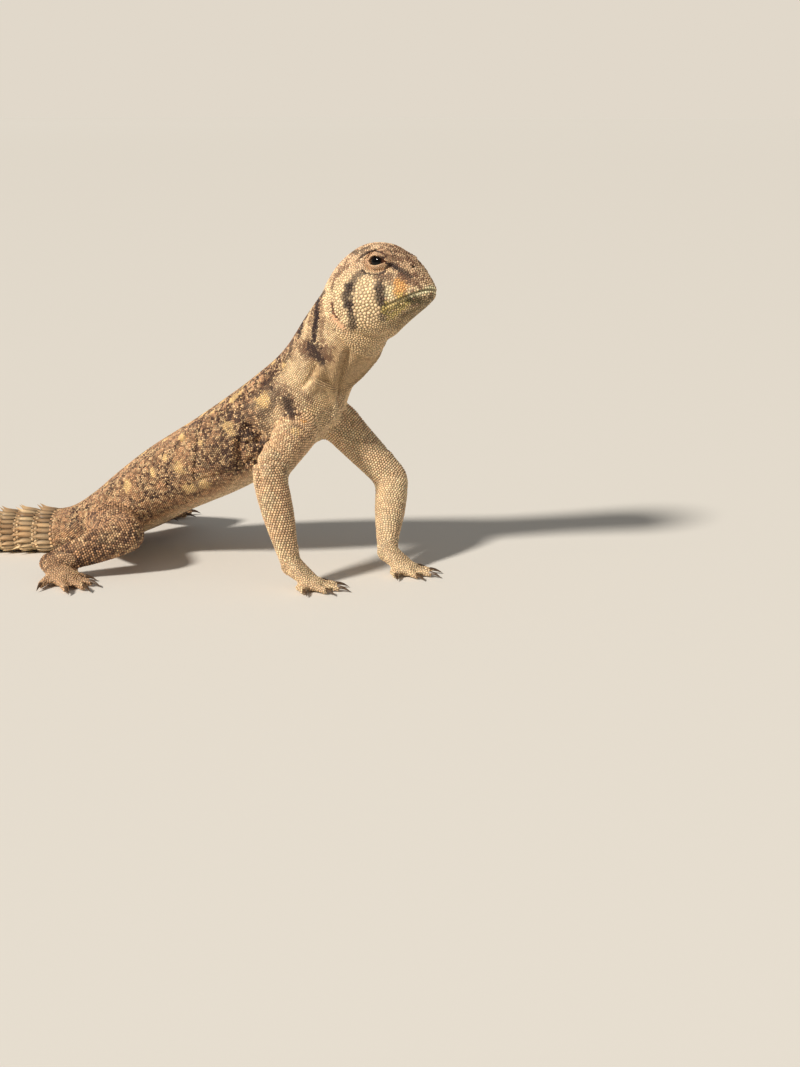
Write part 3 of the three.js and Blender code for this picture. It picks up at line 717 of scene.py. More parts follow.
# %% [markdown]
# The lids. The eyeball is a plain ball set in the head. The skin bulges over the ball like a cap, with an
# opening in front, pointed at both ends like an almond. Inside the opening the skin drops behind the ball.
# Creases run over the upper lid and under the lower lid, which hangs like a pouch. All of this is worked out
# in the eye's own frame: a runs forward along the slit, b upwards and c outwards.

# %% Lids
SLIT_TILT = math.radians(-17)
OPENING = {"a": 3.15, "up": 1.36, "low": 1.28}
LID_THICKNESS = 0.34
LID_PASSES = 8
LID_REACH = 8
LID_DRAW_IN = 1.2
LID_LOOSE = (-1.9, -0.7, 2.2, 3.8)
ORBIT = {"a": 4.5, "up": 3.5, "down": 4.2, "blend": 1.2, "behind": 9}
# Each crease is part of an oval, above (1) or below (-1) the slit: its two radii, depth and width
CREASES = [
    (1, 4.2, 2.6, 0.68, 0.26),
    (1, 5.1, 3.9, 0.2, 0.35),
    (-1, 4.2, 3.75, 0.6, 0.34),
    (-1, 3.6, 2.6, 0.1, 0.2),
]
CREASE_STARTS = {1: (-0.4, 0.8), -1: (0.0, 1.2)}
CORNER = {"depth": 0.3, "slope": 0.1, "width": 0.22, "starts": (-0.4, 0.1), "ends": (1.0, 1.8)}
POUCH = {"b": -2.5, "a": 0.4, "rise": 0.42, "spread": 1.2, "length": 2.6}
BAND = {"gap": 0.55, "rise": 0.34, "spread": 0.4}
LID_EDGE = (-0.16, 0.02)
HOLLOW = 0.8


def eye_axes(side):
    """The eye's middle and its three directions, in the head's frame, on the right (-1) or the left (1)."""
    turn = Matrix.Rotation(-EYE_FORWARD * side, 3, "Z") @ Matrix.Rotation(EYE_UP * side, 3, "X")
    out = np.array(turn @ Vector((0, side, 0)))
    slit = np.array(turn @ Vector((math.cos(SLIT_TILT), 0, math.sin(SLIT_TILT))))
    slit = unit(slit - out * (slit @ out))
    up = unit(np.cross(slit, out) * -side)
    return EYE * np.array([1, side, 1]), slit, up, out


def in_eye(points, side):
    """The coordinates a, b and c of points in an eye's frame."""
    centre, slit, up, out = eye_axes(side)
    away = to_head(points) - centre
    return away @ slit, away @ up, away @ out


def out_of_eye(a, b, c, side):
    centre, slit, up, out = eye_axes(side)
    return from_head(centre + np.outer(a, slit) + np.outer(b, up) + np.outer(c, out))


def ring_gap(a, b, radius_a, radius_up, radius_down=None):
    """About how far a place lies outside an oval, in millimetres; minus inside it."""
    radius_b = np.where(b > 0, radius_up, radius_down or radius_up)
    share = np.sqrt((a / radius_a) ** 2 + (b / radius_b) ** 2)
    return (share - 1) * np.minimum(radius_a, radius_b)


def orbit_gap(a, b, c):
    """About how far a place lies outside the oval that the lids fill."""
    return np.where(c > 0, ring_gap(a, b, ORBIT["a"], ORBIT["up"], ORBIT["down"]), ORBIT["behind"])


def slit_gap(a, b):
    """About how far a place lies outside the almond opening of the lids; minus inside it."""
    half = np.where(b > 0, OPENING["up"], OPENING["low"]) * (1 - np.minimum(1, (a / OPENING["a"]) ** 2))
    past = np.maximum(0, np.abs(a) - OPENING["a"])
    return np.where(past > 0, np.hypot(past, b), np.abs(b) - half)


def bulge_lids(points):
    """Draws the skin over each ball like a cap that runs out softly into the face."""
    points, loose = points.copy(), np.zeros(len(points))
    held, free, fading, firm = LID_LOOSE
    for side in (-1, 1):
        a, b, c = in_eye(points, side)
        near = (np.hypot(a, b) < LID_REACH) & (c > 0)
        a, b, c = a[near], b[near], c[near]
        ball = np.sqrt(np.maximum((EYE_RADIUS + LID_THICKNESS) ** 2 - a * a - b * b, 0.0))
        orbit = orbit_gap(a, b, c)
        on_ball = 1 - ease(orbit, -ORBIT["blend"], ORBIT["blend"] * 0.6)
        shape = c + on_ball * (np.maximum(ball, c - LID_DRAW_IN) - c)
        shape += POUCH["rise"] * bell(a - POUCH["a"], POUCH["length"]) * bell(b - POUCH["b"], POUCH["spread"])
        points[near] = out_of_eye(a, b, shape, side)
        loose[near] = ease(orbit, held, free) * (1 - ease(orbit, fading, firm))
    return relax(points, loose, LID_PASSES)


def cut_lids(points):
    """Presses the creases in, raises the lids' edges and opens them."""
    points = points.copy()
    for side in (-1, 1):
        a, b, c = in_eye(points, side)
        near = (np.hypot(a, b) < LID_REACH - 1) & (c > 0)
        a, b, shape = a[near], b[near], c[near]
        opening = slit_gap(a, b)
        for way, radius_a, radius_b, depth, width in CREASES:
            part = ease(way * b, *CREASE_STARTS[way])
            shape = shape - depth * bell(ring_gap(a, b, radius_a, radius_b), width) * part
        shape = shape + BAND["rise"] * bell(opening - BAND["gap"], BAND["spread"])
        front = a - OPENING["a"]
        corner = CORNER["depth"] * bell(b + CORNER["slope"] * np.maximum(front, 0), CORNER["width"])
        corner = corner * ease(front, *CORNER["starts"]) * (1 - ease(front, *CORNER["ends"]))
        shape = shape - corner
        inside = 1 - ease(opening, *LID_EDGE)
        hollow = np.sqrt(np.maximum(EYE_RADIUS ** 2 - a * a - b * b, 0.0)) - HOLLOW
        points[near] = out_of_eye(a, b, shape * (1 - inside) + np.minimum(hollow, shape) * inside, side)
    return points


put_corners(skin.data, cut_lids(bulge_lids(corners(skin.data))))
print("lids shaped")

# %% [markdown]
# The mouth is a fine groove between two low lips, where the solids have it. The nostrils are small pits with
# a raised rim. The ear is a slit with a soft, bare drum behind its dark front edge.

# %% Mouth, nostrils and ears
LIP = {"off": 0.85, "rise": 0.16, "spread": 0.5}
# The groove starts at the corner and deepens over these distances from it
MOUTH_STARTS = (-0.8, 1.6)
MOUTH_DEEPENS = (3, 9)
MOUTH_GROOVE = {"depth": 0.5, "width": 0.2, "at_corner": 0.45, "more": 0.55}
NOSTRIL_PIT = {"depth": 1.2, "floor": 0.15, "radius": 0.736, "rim": 0.2, "rim_off": 1.0, "rim_width": 0.35}
EAR_FOLD = {"depth": 0.6, "width": 0.4, "rise": 0.3}
EAR_WEIGHT, EAR_REACH, EAR_PASSES = 0.8, 1.2, 3
DRUM_PIXELS = [(332.5, 317), (336, 321.5), (341, 326)]
DRUM = {"depth": 0.25, "radius": 1.1}


def shape_openings(points, outward):
    local = to_head(points)
    x, z = local[:, 0], local[:, 2]
    push = np.zeros(len(points))
    off = z - mouth_height(x)
    mouth = ease(x, *(MOUTH["corner"] + past for past in MOUTH_STARTS))
    lips = bell(off - LIP["off"], LIP["spread"]) + bell(off + LIP["off"], LIP["spread"])
    push += mouth * LIP["rise"] * lips
    deeper = ease(x, *(MOUTH["corner"] + past for past in MOUTH_DEEPENS))
    open_part = mouth * (MOUTH_GROOVE["at_corner"] + MOUTH_GROOVE["more"] * deeper)
    push -= open_part * MOUTH_GROOVE["depth"] * bell(off, MOUTH_GROOVE["width"])
    for spot in nostril_spots:
        gap = norm(points - spot, axis=1)
        push -= NOSTRIL_PIT["depth"] * (1 - ease(gap, NOSTRIL_PIT["floor"], NOSTRIL_PIT["radius"]))
        push += NOSTRIL_PIT["rim"] * bell(gap - NOSTRIL_PIT["rim_off"], NOSTRIL_PIT["rim_width"])
    for line, drum in zip(ear_lines, drum_lines):
        push += fold_push(points, outward, line, EAR_FOLD["depth"], EAR_FOLD["width"], EAR_FOLD["rise"])
        push -= DRUM["depth"] * bell(gap_to_line(points, drum)[0], DRUM["radius"])
    return points + push[:, None] * outward


drum_lines = both_sides(first_tree, DRUM_PIXELS, "head")
points = shape_openings(corners(skin.data), normals(skin.data))
off_ear = np.minimum(*(gap_to_line(points, line)[0] for line in ear_lines))
put_corners(skin.data, relax(points, EAR_WEIGHT * bell(off_ear, EAR_REACH), EAR_PASSES))
print("mouth, nostrils and ears pressed in")

# %% [markdown]
# Folds. Each one is a short line drawn on the picture, thrown onto the skin through the camera, so that it
# lies where the animal has it. The skin sinks along the line and rises a little beside it. The same fold is
# made on the other side of the animal: mirrored in the head's frame on the head, and round the body line
# elsewhere. Soft rises, round a pixel or along a line, fill out cheeks, rolls, muscles and the brow.

# %% Folds and rises
# Pixels of the picture, depth, width, rise beside the fold in millimetres, and where it lies
FOLDS = {
    "jaw_edge": ([(349, 329), (357, 334), (370, 337), (386, 335), (401, 329)], 0.45, 1.3, 0.3, "head"),
    "brow_crease": ([(385, 251), (390, 255), (397, 260)], 0.2, 0.5, 0.0, "head"),
    "cheek_back": ([(352, 283), (349, 291), (348, 300), (351, 312)], 0.25, 0.8, 0.2, "head"),
    "neck_roll": ([(297, 390), (304, 385), (310, 377), (315, 368), (319, 358)], 1.5, 1.0, 0.9, "body"),
    "throat_roll": ([(310, 377), (320, 379.5), (330, 382), (337, 392)], 1.0, 0.8, 0.6, "body"),
    "neck_edge": (
        [(352, 342), (345, 360), (340.5, 375), (339, 392), (335, 410), (326, 431)], 1.3, 1.0, 1.1, "body",
    ),
    "shoulder_line": ([(241.7, 394), (240.5, 404), (240, 415)], 0.45, 0.5, 0.25, "body"),
    "flank_line": ([(205, 414), (200, 428), (197.5, 442), (195, 467), (194, 481)], 0.6, 0.55, 0.35, "body"),
    "flank_edge": ([(240, 433), (239.5, 446), (239, 457), (236, 470)], 1.5, 1.1, 0.7, "body"),
    "low_flank": ([(191, 482), (206, 477.5), (220, 473.5), (236, 468)], 0.7, 0.7, 0.35, "body"),
    "hip_flank": ([(171, 474), (168.5, 483), (166, 492)], 0.5, 0.6, 0.3, "body"),
    "armpit_top": ([(241, 430), (248, 427), (255, 432), (261, 437), (267, 438)], 2.1, 1.2, 0.4, "body"),
    "armpit_low": ([(263, 441), (254, 443), (245, 441)], 1.4, 1.1, 0.0, "body"),
    "belly_edge": ([(238, 469), (246, 463), (254, 456)], 1.0, 0.8, 0.35, "body"),
    "arm_edge": ([(255, 457), (258, 468), (262, 486)], 0.9, 0.7, 0.3, "body"),
    "arm_front": ([(268, 438), (274, 446), (281, 454)], 0.5, 0.8, 0.3, "body"),
    "arm_bend": ([(266, 462), (274, 461), (284, 463)], 0.4, 0.7, 0.3, "body"),
    "chest_pleat": ([(332, 418), (328, 431), (321, 441)], 0.6, 0.6, 0.35, "body"),
    "chest_pleat_low": ([(318, 430), (314, 438), (309, 444)], 0.4, 0.6, 0.25, "body"),
    "chest_pleat_high": ([(330, 402), (322, 412), (316, 424)], 0.3, 0.7, 0.25, "body"),
}
# Pixels, height, spread, and where it lies
RISES = {
    "cheek": ([(366, 302)], 0.4, 5.0, "head"),
    "jaw_muscle": ([(352, 316)], 0.3, 3.0, "head"),
    "neck_roll": ([(298, 371)], 0.9, 3.4, "body"),
    "second_roll": ([(322, 371)], 0.45, 2.6, "body"),
    "flank": ([(218, 452)], 0.7, 7.0, "body"),
    "low_flank": ([(180, 470)], 0.5, 6.0, "body"),
    "shoulder": ([(290, 436)], 0.5, 4.5, "body"),
    "upper_arm": ([(270, 455)], 0.4, 3.5, "body"),
    "brow": ([(360, 253), (366, 249.5), (376, 247.5), (386, 250.5), (392, 255)], 0.4, 1.0, "head"),
    "snout_ridge": ([(392, 255), (400, 258), (409, 261)], 0.3, 1.1, "head"),
}
FOLD_WEIGHT, FOLD_PUSHES, FOLD_PASSES = 0.7, (0.1, 0.5), 2

base_tree = skin_tree()
points, outward = corners(skin.data), normals(skin.data)
push = np.zeros(len(points))
for pixels, height, spread, where in RISES.values():
    for line in both_sides(base_tree, pixels, where):
        push += height * bell(gap_to_line(points, line)[0], spread)
for pixels, depth, width, rise, where in FOLDS.values():
    for line in both_sides(base_tree, pixels, where):
        push += fold_push(points, outward, line, depth, width, rise)
points = points + push[:, None] * outward
put_corners(skin.data, relax(points, FOLD_WEIGHT * ease(np.abs(push), *FOLD_PUSHES), FOLD_PASSES))
print("folds:", len(FOLDS), "rises:", len(RISES), "deepest", round(push.min(), 2))

# %% [markdown]
# Markings. One function gives the colour of any place on the animal, and both the skin and the scales ask it,
# so they always agree. The ground colour goes from brown on the back to cream below. A network of dark cells
# and a finer mottling lie over it. The spots, bars and patches of the picture are lines drawn through the
# camera, as the folds are, each with its own paint, width and strength, and each mirrored on the other side.
# A few dark lines among them are painted shade in creases of the lids, the flank and the armpit, and the
# dark spot in each nostril is painted shade as well.

# %% Paints and marks
PAINTS = {
    "back": (212, 166, 126), "flank": (216, 168, 124), "belly": (244, 216, 174), "web": (78, 50, 38),
    "light": (248, 210, 160), "cheek": (252, 220, 174), "crown": (254, 216, 174), "snout": (204, 168, 132),
    "jaw": (208, 184, 104), "chin": (150, 122, 80), "throat": (190, 156, 112), "lid": (216, 174, 136),
    "orange": (240, 174, 96), "cream": (244, 230, 184), "green": (78, 68, 34), "dark": (56, 36, 32),
    "brown": (116, 76, 56), "drum": (238, 190, 148), "red": (104, 50, 38), "yellow": (244, 200, 124),
    "ocellus": (252, 212, 150), "arm": (254, 212, 164), "hand": (232, 192, 150), "tail": (216, 178, 132),
    "leg": (214, 166, 122), "sand": (254, 226, 180),
}
# Paint, width in millimetres, strength, and the pixels of the line
HEAD_MARKS = [
    ("dark", 1.3, 0.7, [(362, 272), (357, 276), (352, 282), (349, 289)]),
    ("dark", 1.9, 0.85, [(350, 287), (347, 294), (346, 300), (350, 306)]),
    ("dark", 1.4, 0.8, [(349, 304), (352, 314), (353, 327)]),
    ("dark", 1.7, 0.6, [(382, 276), (380, 283), (379, 290)]),
    ("dark", 1.9, 0.8, [(380, 287), (381, 295), (383, 302)]),
    ("dark", 1.4, 0.65, [(383, 300), (384, 309), (383, 318)]),
    ("brown", 1.2, 0.6, [(376, 277), (384, 276), (390, 278)]),
    ("dark", 0.5, 0.95, [(381, 261), (387, 263), (391, 265), (396, 268)]),
    ("dark", 1.15, 0.85, [(392, 265), (398, 269), (404, 273), (409, 276)]),
    ("dark", 1.1, 0.75, [(353, 252), (358, 253), (363, 250), (369, 247.5)]),
    # Painted shade: the next two dark lines lie in the creases over the upper lid and under the lower lid.
    ("dark", 0.46, 0.9, [(360, 257.5), (366, 253), (375, 251), (382.5, 253), (386, 257)]),
    ("dark", 0.44, 0.85, [(362, 270.5), (366, 273), (376, 274.6), (383.7, 271.5), (387.5, 266.5)]),
    ("brown", 0.9, 0.7, [(346, 262), (343, 270), (335, 278), (332, 288)]),
    ("brown", 0.9, 0.6, [(352, 250), (360, 244), (372, 241)]),
    ("brown", 0.6, 0.6, [(370, 246), (380, 244), (390, 247)]),
    ("brown", 0.7, 0.65, [(396, 246), (404, 253), (412, 262)]),
    ("brown", 0.6, 0.65, [(405, 248), (414, 256), (421, 266)]),
    ("brown", 1.0, 0.6, [(400, 276), (408, 281), (417, 282)]),
    ("cream", 1.8, 0.45, [(390, 290), (392, 298), (400, 298)]),
    ("orange", 1.8, 0.8, [(399, 284), (401, 289), (398, 294)]),
    ("cheek", 2.3, 0.7, [(366, 288), (366, 300), (364, 312)]),
    ("jaw", 2.0, 0.7, [(388, 308), (396, 304), (404, 299)]),
    ("jaw", 1.4, 0.6, [(390, 316), (400, 309), (408, 303)]),
    ("cream", 0.9, 0.95, [(411, 296), (419, 292.6), (427, 290.2), (433, 289.2)]),
    ("green", 1.4, 0.75, [(411, 300), (415, 302), (419, 300)]),
    ("green", 0.9, 0.7, [(398, 303), (405, 300), (413, 298)]),
    ("green", 1.2, 0.4, [(431, 297), (432, 301), (428, 306)]),
    ("green", 1.3, 0.5, [(424, 303), (415, 309), (404, 316)]),
    ("green", 1.1, 0.45, [(388, 312), (394, 308), (400, 306)]),
    ("red", 0.55, 0.9, [(332.5, 304), (333, 309), (335, 315), (338.5, 320)]),
    ("drum", 1.5, 0.85, [(333, 318), (338, 323), (344, 329)]),
]
BODY_MARKS = [
    ("dark", 1.3, 0.8, [(332, 280), (327, 288), (322, 296)]),
    ("dark", 1.3, 1.0, [(318.5, 298), (317, 310), (315.5, 322), (314, 338)]),
    ("dark", 1.5, 1.0, [(309.5, 306), (304, 319), (299.5, 334)]),
    ("cheek", 1.3, 0.85, [(314, 303), (310, 313), (306, 325), (304, 336)]),
    ("brown", 0.8, 0.6, [(323, 318), (321, 330), (322, 340)]),
    ("dark", 1.2, 0.6, [(293, 340), (291, 352), (286, 362)]),
    ("brown", 3.0, 0.8, [(308, 348), (316, 354), (327, 356)]),
    ("dark", 1.9, 0.9, [(312, 346), (317, 355), (322, 363)]),
    ("cheek", 2.4, 0.8, [(290, 367), (296, 376), (305, 384)]),
    ("throat", 2.4, 0.6, [(314, 368), (322, 373), (332, 384)]),
    ("brown", 3.0, 0.6, [(283, 392), (288, 402), (291, 413)]),
    ("dark", 2.0, 0.8, [(286, 401), (289, 407), (292, 413)]),
    ("brown", 1.4, 0.45, [(304, 394), (309, 399), (311, 405)]),
    ("orange", 0.7, 0.8, [(303, 421.5), (304, 422)]),
    ("light", 2.4, 0.6, [(312, 412), (322, 404), (330, 398)]),
    ("web", 2.2, 0.6, [(272, 372), (266, 384), (262, 392)]),
    ("web", 1.8, 0.5, [(276, 392), (270, 404), (262, 416)]),
    ("web", 3.4, 0.4, [(206, 446), (216, 452), (228, 456), (235, 462)]),
    ("web", 2.4, 0.55, [(206, 462), (216, 466), (230, 468)]),
    ("web", 2.2, 0.5, [(246, 417), (250, 426), (240, 432)]),
    # Painted shade: a dark line in the pit of the armpit.
    ("dark", 1.5, 0.9, [(247, 430), (255, 435), (263, 441)]),
    ("light", 1.7, 0.5, [(206, 477), (200, 484), (190, 490)]),
    ("yellow", 1.0, 0.85, [(181, 436), (183, 439)]),
    # Painted shade: the next two dark lines lie in the creases of the flank fold and of the flank's edge over
    # the arm.
    ("web", 0.6, 0.75, [(205, 414), (200, 428), (197.5, 442), (195, 467)]),
    ("dark", 0.7, 0.75, [(240, 433), (239.5, 446), (239, 457), (236, 470)]),
]
# Pixel and size of each pale spot on the body
OCELLI = [
    (235, 397, 1.8), (240, 393, 1.3), (262, 402, 2.0), (264, 398, 1.7), (228, 426, 1.7), (231, 433, 1.5),
    (181, 437, 1.2), (179, 468, 1.8), (190, 488, 1.8), (127, 486, 1.5), (213, 412, 1.2), (153, 472, 1.2),
    (246, 381, 1.3), (200, 443, 0.9), (165, 458, 1.0), (296, 431, 1.3), (205, 484, 1.7), (284, 366, 1.1),
]


def linear(paint):
    """A paint of three numbers from 0 to 255, as linear light."""
    share = np.array(paint, float) / 255
    return np.where(share <= 0.04045, share / 12.92, ((share + 0.055) / 1.055) ** 2.4)


paints = {name: linear(paint) for name, paint in PAINTS.items()}


def noise_at(points, size, shift):
    """Smooth noise from about -1 to 1 whose lumps are about this many millimetres across."""
    return np.array([noise.noise(Vector(p)) for p in points / size + shift])


def cells_at(points, size):
    """0 on the borders between random cells of about this size, rising towards their middles."""
    found = [noise.voronoi(Vector(p))[0] for p in points / size]
    return np.array([gaps[1] - gaps[0] for gaps in found])


marks_on_skin = [
    (where, name, width, strength, both_sides(base_tree, pixels, where))
    for where, rows in (("head", HEAD_MARKS), ("body", BODY_MARKS)) for name, width, strength, pixels in rows
]
ocelli_on_skin = [(size, both_sides(base_tree, [(x, y)], "body")) for x, y, size in OCELLI]
print("marks:", len(marks_on_skin), "ocelli:", len(ocelli_on_skin))

# %% The colour of any place
# How ragged the edges of the marks are
ROUGHNESS = 0.95
BACK_OCELLI = {"first": 6, "last": 84, "step": 8.5, "angles": (-38, -14, 14, 38), "size": 1.5}
BACK_GIRTH = 15.0
# Size in millimetres and shift of each noise, and size of the cells whose borders make the nets
LUMPS, SPECKS, GRIT = (5.0, 0.0), (1.3, 7.0), (0.45, 3.0)
WEB_SIZE = 2.5
SMALL_WEB_SIZE = 1.25
# Along the body: marks of the head reach down to the first, marks of the body up to the second
MARKS_MEET = (96, 112)


def back_ocelli():
    """Cross rows of pale spots on the back, which the camera doesn't see."""
    random = np.random.default_rng(5)
    found = []
    for row, at in enumerate(np.arange(BACK_OCELLI["first"], BACK_OCELLI["last"], BACK_OCELLI["step"])):
        for angle in BACK_OCELLI["angles"]:
            turn = math.radians(angle + random.uniform(-6, 6) + 5 * (row % 2))
            place = at + random.uniform(-1.5, 1.5)
            found.append((place, turn, BACK_OCELLI["size"] * random.uniform(0.6, 1.2)))
    return found


def lay(colour, *layers):
    """Lays paints over a colour one after the other, each as its name and its mask."""
    for name, mask in layers:
        colour = colour + (paints[name] - colour) * np.clip(mask, 0, 1)[:, None]
    return colour


def paint_trunk(at, rise, trunk, grains):
    """The ground colour everywhere, with the nets of the back, the pale belly, chest and throat."""
    lumps, specks, grit, web, small_web = grains
    neck = trunk * ease(at, 78, 92)
    chest = trunk * ease(at, 64, 78) * ease(-rise, -0.4, 0.0)
    belly = trunk * ease(-rise, 0.6, 0.95)
    dark = trunk * (1 - 0.75 * neck * ease(-rise, -0.9, -0.3))
    dark = dark * (1 - ease(-rise, 0.5, 0.9)) * (0.75 + 0.4 * ease(at, 40, 75))
    return lay(
        np.repeat(paints["flank"][None], len(at), 0),
        ("back", ease(rise, 0.1, 0.8)),
        ("light", 0.85 * ease(specks + 0.7 * lumps + 0.6 * grit, -0.15, 0.35)),
        ("cheek", neck * ease(-rise, -0.9, -0.2) * 0.8),
        ("web", dark * (0.85 * web + 0.6 * small_web * ease(specks + lumps, -0.3, 0.4))),
        ("belly", belly),
        ("cheek", chest * 0.9),
        ("brown", belly * (1 - chest) * (0.35 * web + 0.25 * small_web)),
        ("brown", trunk * np.maximum(neck, chest) * (0.3 * small_web + 0.3 * ease(specks, 0.1, 0.5))),
        ("throat", trunk * ease(at, 82, 92) * ease(-rise, 0.25, 0.6) * 0.75),
    )


def paint_limbs(colour, rise, arm, leg, hand, grains):
    lumps, specks, grit, web, small_web = grains
    blotches = lumps + 0.6 * specks + 0.5 * grit
    thinner = 1 - 0.4 * hand
    colour = lay(
        np.where(arm[:, None], paints["arm"], colour),
        ("sand", arm * 0.85 * ease(blotches, -0.1, 0.4)),
        ("brown", arm * (0.3 * web + 0.25 * small_web) * thinner),
    )
    return lay(
        np.where(leg[:, None], paints["leg"], colour),
        ("light", leg * 0.7 * ease(blotches, 0.1, 0.6)),
        ("web", leg * (0.6 * web + 0.35 * small_web) * thinner),
        ("hand", 0.4 * hand),
        ("belly", (arm | leg) * ease(-rise, 0.6, 1.0) * 0.5),
    )


def paint_head(colour, points, head, grains):
    specks, grit, small_web = grains[1], grains[2], grains[4]
    local = to_head(points)
    x, z = local[:, 0], local[:, 2]
    crown = ease(z, 2.5, 7.5)
    below = ease(mouth_height(x) - z, 0.6, 4.5)
    fine = specks + 0.5 * grit
    speckle = ease(fine, 0.1, 0.45) * (0.3 + 0.5 * ease(x, 12, 20))
    colour = lay(
        np.where(head[:, None], paints["cheek"], colour),
        ("crown", head * crown * 0.9),
        ("brown", head * crown * (0.25 * small_web + 0.45 * ease(fine, 0.2, 0.4))),
        ("snout", head * ease(x, 15, 21) * ease(z, -5, -1) * 0.8),
        ("chin", head * below * ease(x, 4, 14) * 0.75),
        ("throat", head * below * (1 - ease(x, 4, 12)) * 0.6),
        ("brown", head * speckle * (1 - 0.6 * below)),
    )
    for side in (-1, 1):
        gap = orbit_gap(*in_eye(points, side))
        colour = lay(colour, ("lid", head * (1 - ease(gap, -0.5, 0.4)) * 0.85))
    # Painted shade: a dark spot in each nostril pit.
    for spot in nostril_spots:
        gap = norm(points - spot, axis=1)
        colour = lay(colour, ("dark", 0.85 * (1 - ease(gap, 0.5, 0.95))))
    return colour


def ocellus(colour, gap, strength):
    """A pale spot with a dark ring. The gap from its middle is counted in its own radius."""
    disc = 1 - ease(gap, 0.8, 1.25)
    return lay(colour, ("web", 0.3 * bell(gap - 1.6, 0.4)), ("ocellus", strength * disc))


def paint_marks(colour, points, at, angle, head, trunk, rough):
    """The marks and spots drawn through the camera, each with a ragged edge, and the spots of the back."""
    for where, name, width, strength, lines in marks_on_skin:
        for line in lines:
            reach = np.abs(points - line.mean(0)).max(1) < np.ptp(line, axis=0).max() + 3 * width
            here = head | (at > MARKS_MEET[0]) if where == "head" else ~head | (at < MARKS_MEET[1])
            near = np.where(reach & here)[0]
            gap = gap_to_line(points[near], line)[0] / width + rough[near]
            colour[near] = lay(colour[near], (name, strength * (1 - ease(gap, 0.45, 1.2))))
    for size, places in ocelli_on_skin:
        for place in places:
            near = np.where(np.abs(points - place[0]).max(1) < 3 * size)[0]
            gap = norm(points[near] - place[0], axis=1) / size + rough[near]
            colour[near] = ocellus(colour[near], gap, 0.85)
    for place, turn, size in back_ocelli():
        gap = np.hypot(at - place, (angle - turn) * BACK_GIRTH) / size + rough
        near = trunk & (gap < 2.5)
        colour[near] = ocellus(colour[near], gap[near], 0.8)
    return colour


def paint(points, owners):
    """The colour, as linear light, of each point of the skin."""
    at, angle = body_place(points)
    rise = np.cos(angle)
    lumps, specks, grit = (noise_at(points, size, shift) for size, shift in (LUMPS, SPECKS, GRIT))
    cells = cells_at(points + (1.0 * lumps + 0.5 * specks)[:, None], WEB_SIZE)
    web = 1 - ease(cells + 0.35 * grit, 0.0, 0.38)
    small_web = 1 - ease(cells_at(points, SMALL_WEB_SIZE) + 0.3 * grit, 0.05, 0.4)
    grains = (lumps, specks, grit, web, small_web)
    head = is_one_of(owners, "head")
    arm = is_one_of(owners, "arm", "hand")
    leg = is_one_of(owners, "thigh", "shank", "foot")
    tail = is_one_of(owners, "tail") * ease(-at, 14, 30)
    trunk = ~(head | arm | leg)
    hand = np.zeros(len(points))
    for limb in LIMBS:
        reach = norm(points - limb_bones[limb[0]][2], axis=1)
        mine = is_one_of(owners, limb[0] + "_hand", limb[0] + "_foot")
        hand = np.maximum(hand, mine * ease(reach, 3, 9))
    colour = paint_trunk(at, rise, trunk, grains)
    colour = paint_limbs(colour, rise, arm, leg, hand, grains)
    colour = lay(
        colour,
        ("tail", tail * 0.9),
        ("sand", tail * (0.5 * ease(lumps, -0.1, 0.4) + 0.6 * ease(-rise, 0.1, 0.7))),
        ("brown", tail * 0.45 * web * ease(rise, -0.4, 0.3)),
    )
    colour = paint_head(colour, points, head, grains)
    rough = (0.6 * specks + 0.3 * lumps + 0.9 * grit) * ROUGHNESS
    return paint_marks(colour, points, at, angle, head, trunk, rough)


def store(mesh, name, kind, values):
    """Keeps numbers or colours on the mesh, for its material to read."""
    made = mesh.attributes.new(name, kind, "POINT")
    key = "color" if kind == "FLOAT_COLOR" else "value"
    made.data.foreach_set(key, np.asarray(values, np.float32).ravel())


def store_paint(mesh, colour):
    store(mesh, "paint", "FLOAT_COLOR", np.concatenate([colour, np.ones((len(colour), 1))], axis=1))


# Painted shade: the skin is painted darker because it shows only in the grooves between the scales, but not at
# the bare drum of the ear
GROOVE_SHADE = 0.45
DRUM_SHADE = 0.9
DRUM_EDGE = (0.8, 1.1)
skin_corners = corners(skin.data)
skin_colour = paint(skin_corners, owner_of(skin_corners))
off_drum = np.minimum(*(gap_to_line(skin_corners, line)[0] for line in drum_lines))
groove = GROOVE_SHADE + (DRUM_SHADE - GROOVE_SHADE) * (1 - ease(off_drum, *DRUM_EDGE))
store_paint(skin.data, skin_colour * groove[:, None])
print("painted", len(skin_colour), "corners of the skin")

# %% [markdown]
# The claws are modelled once: a ring of eight corners is pushed out step by step, each time smaller and along
# a bow, and closed to a point. Every toe gets a copy of it, turned to the solids' own line.

# %% Claws
CLAW_SIDES = 8
CLAW_STEPS = 6
CLAW_RADIUS = 0.56
CLAW_SUNK = 1.0
CLAW_BOW = 0.32
CLAW_TAPER = 1.6
CLAW_END = 0.1
# Claws are a little smaller than those of the solids, so that they stay inside the box
CLAW_FIT = 0.98


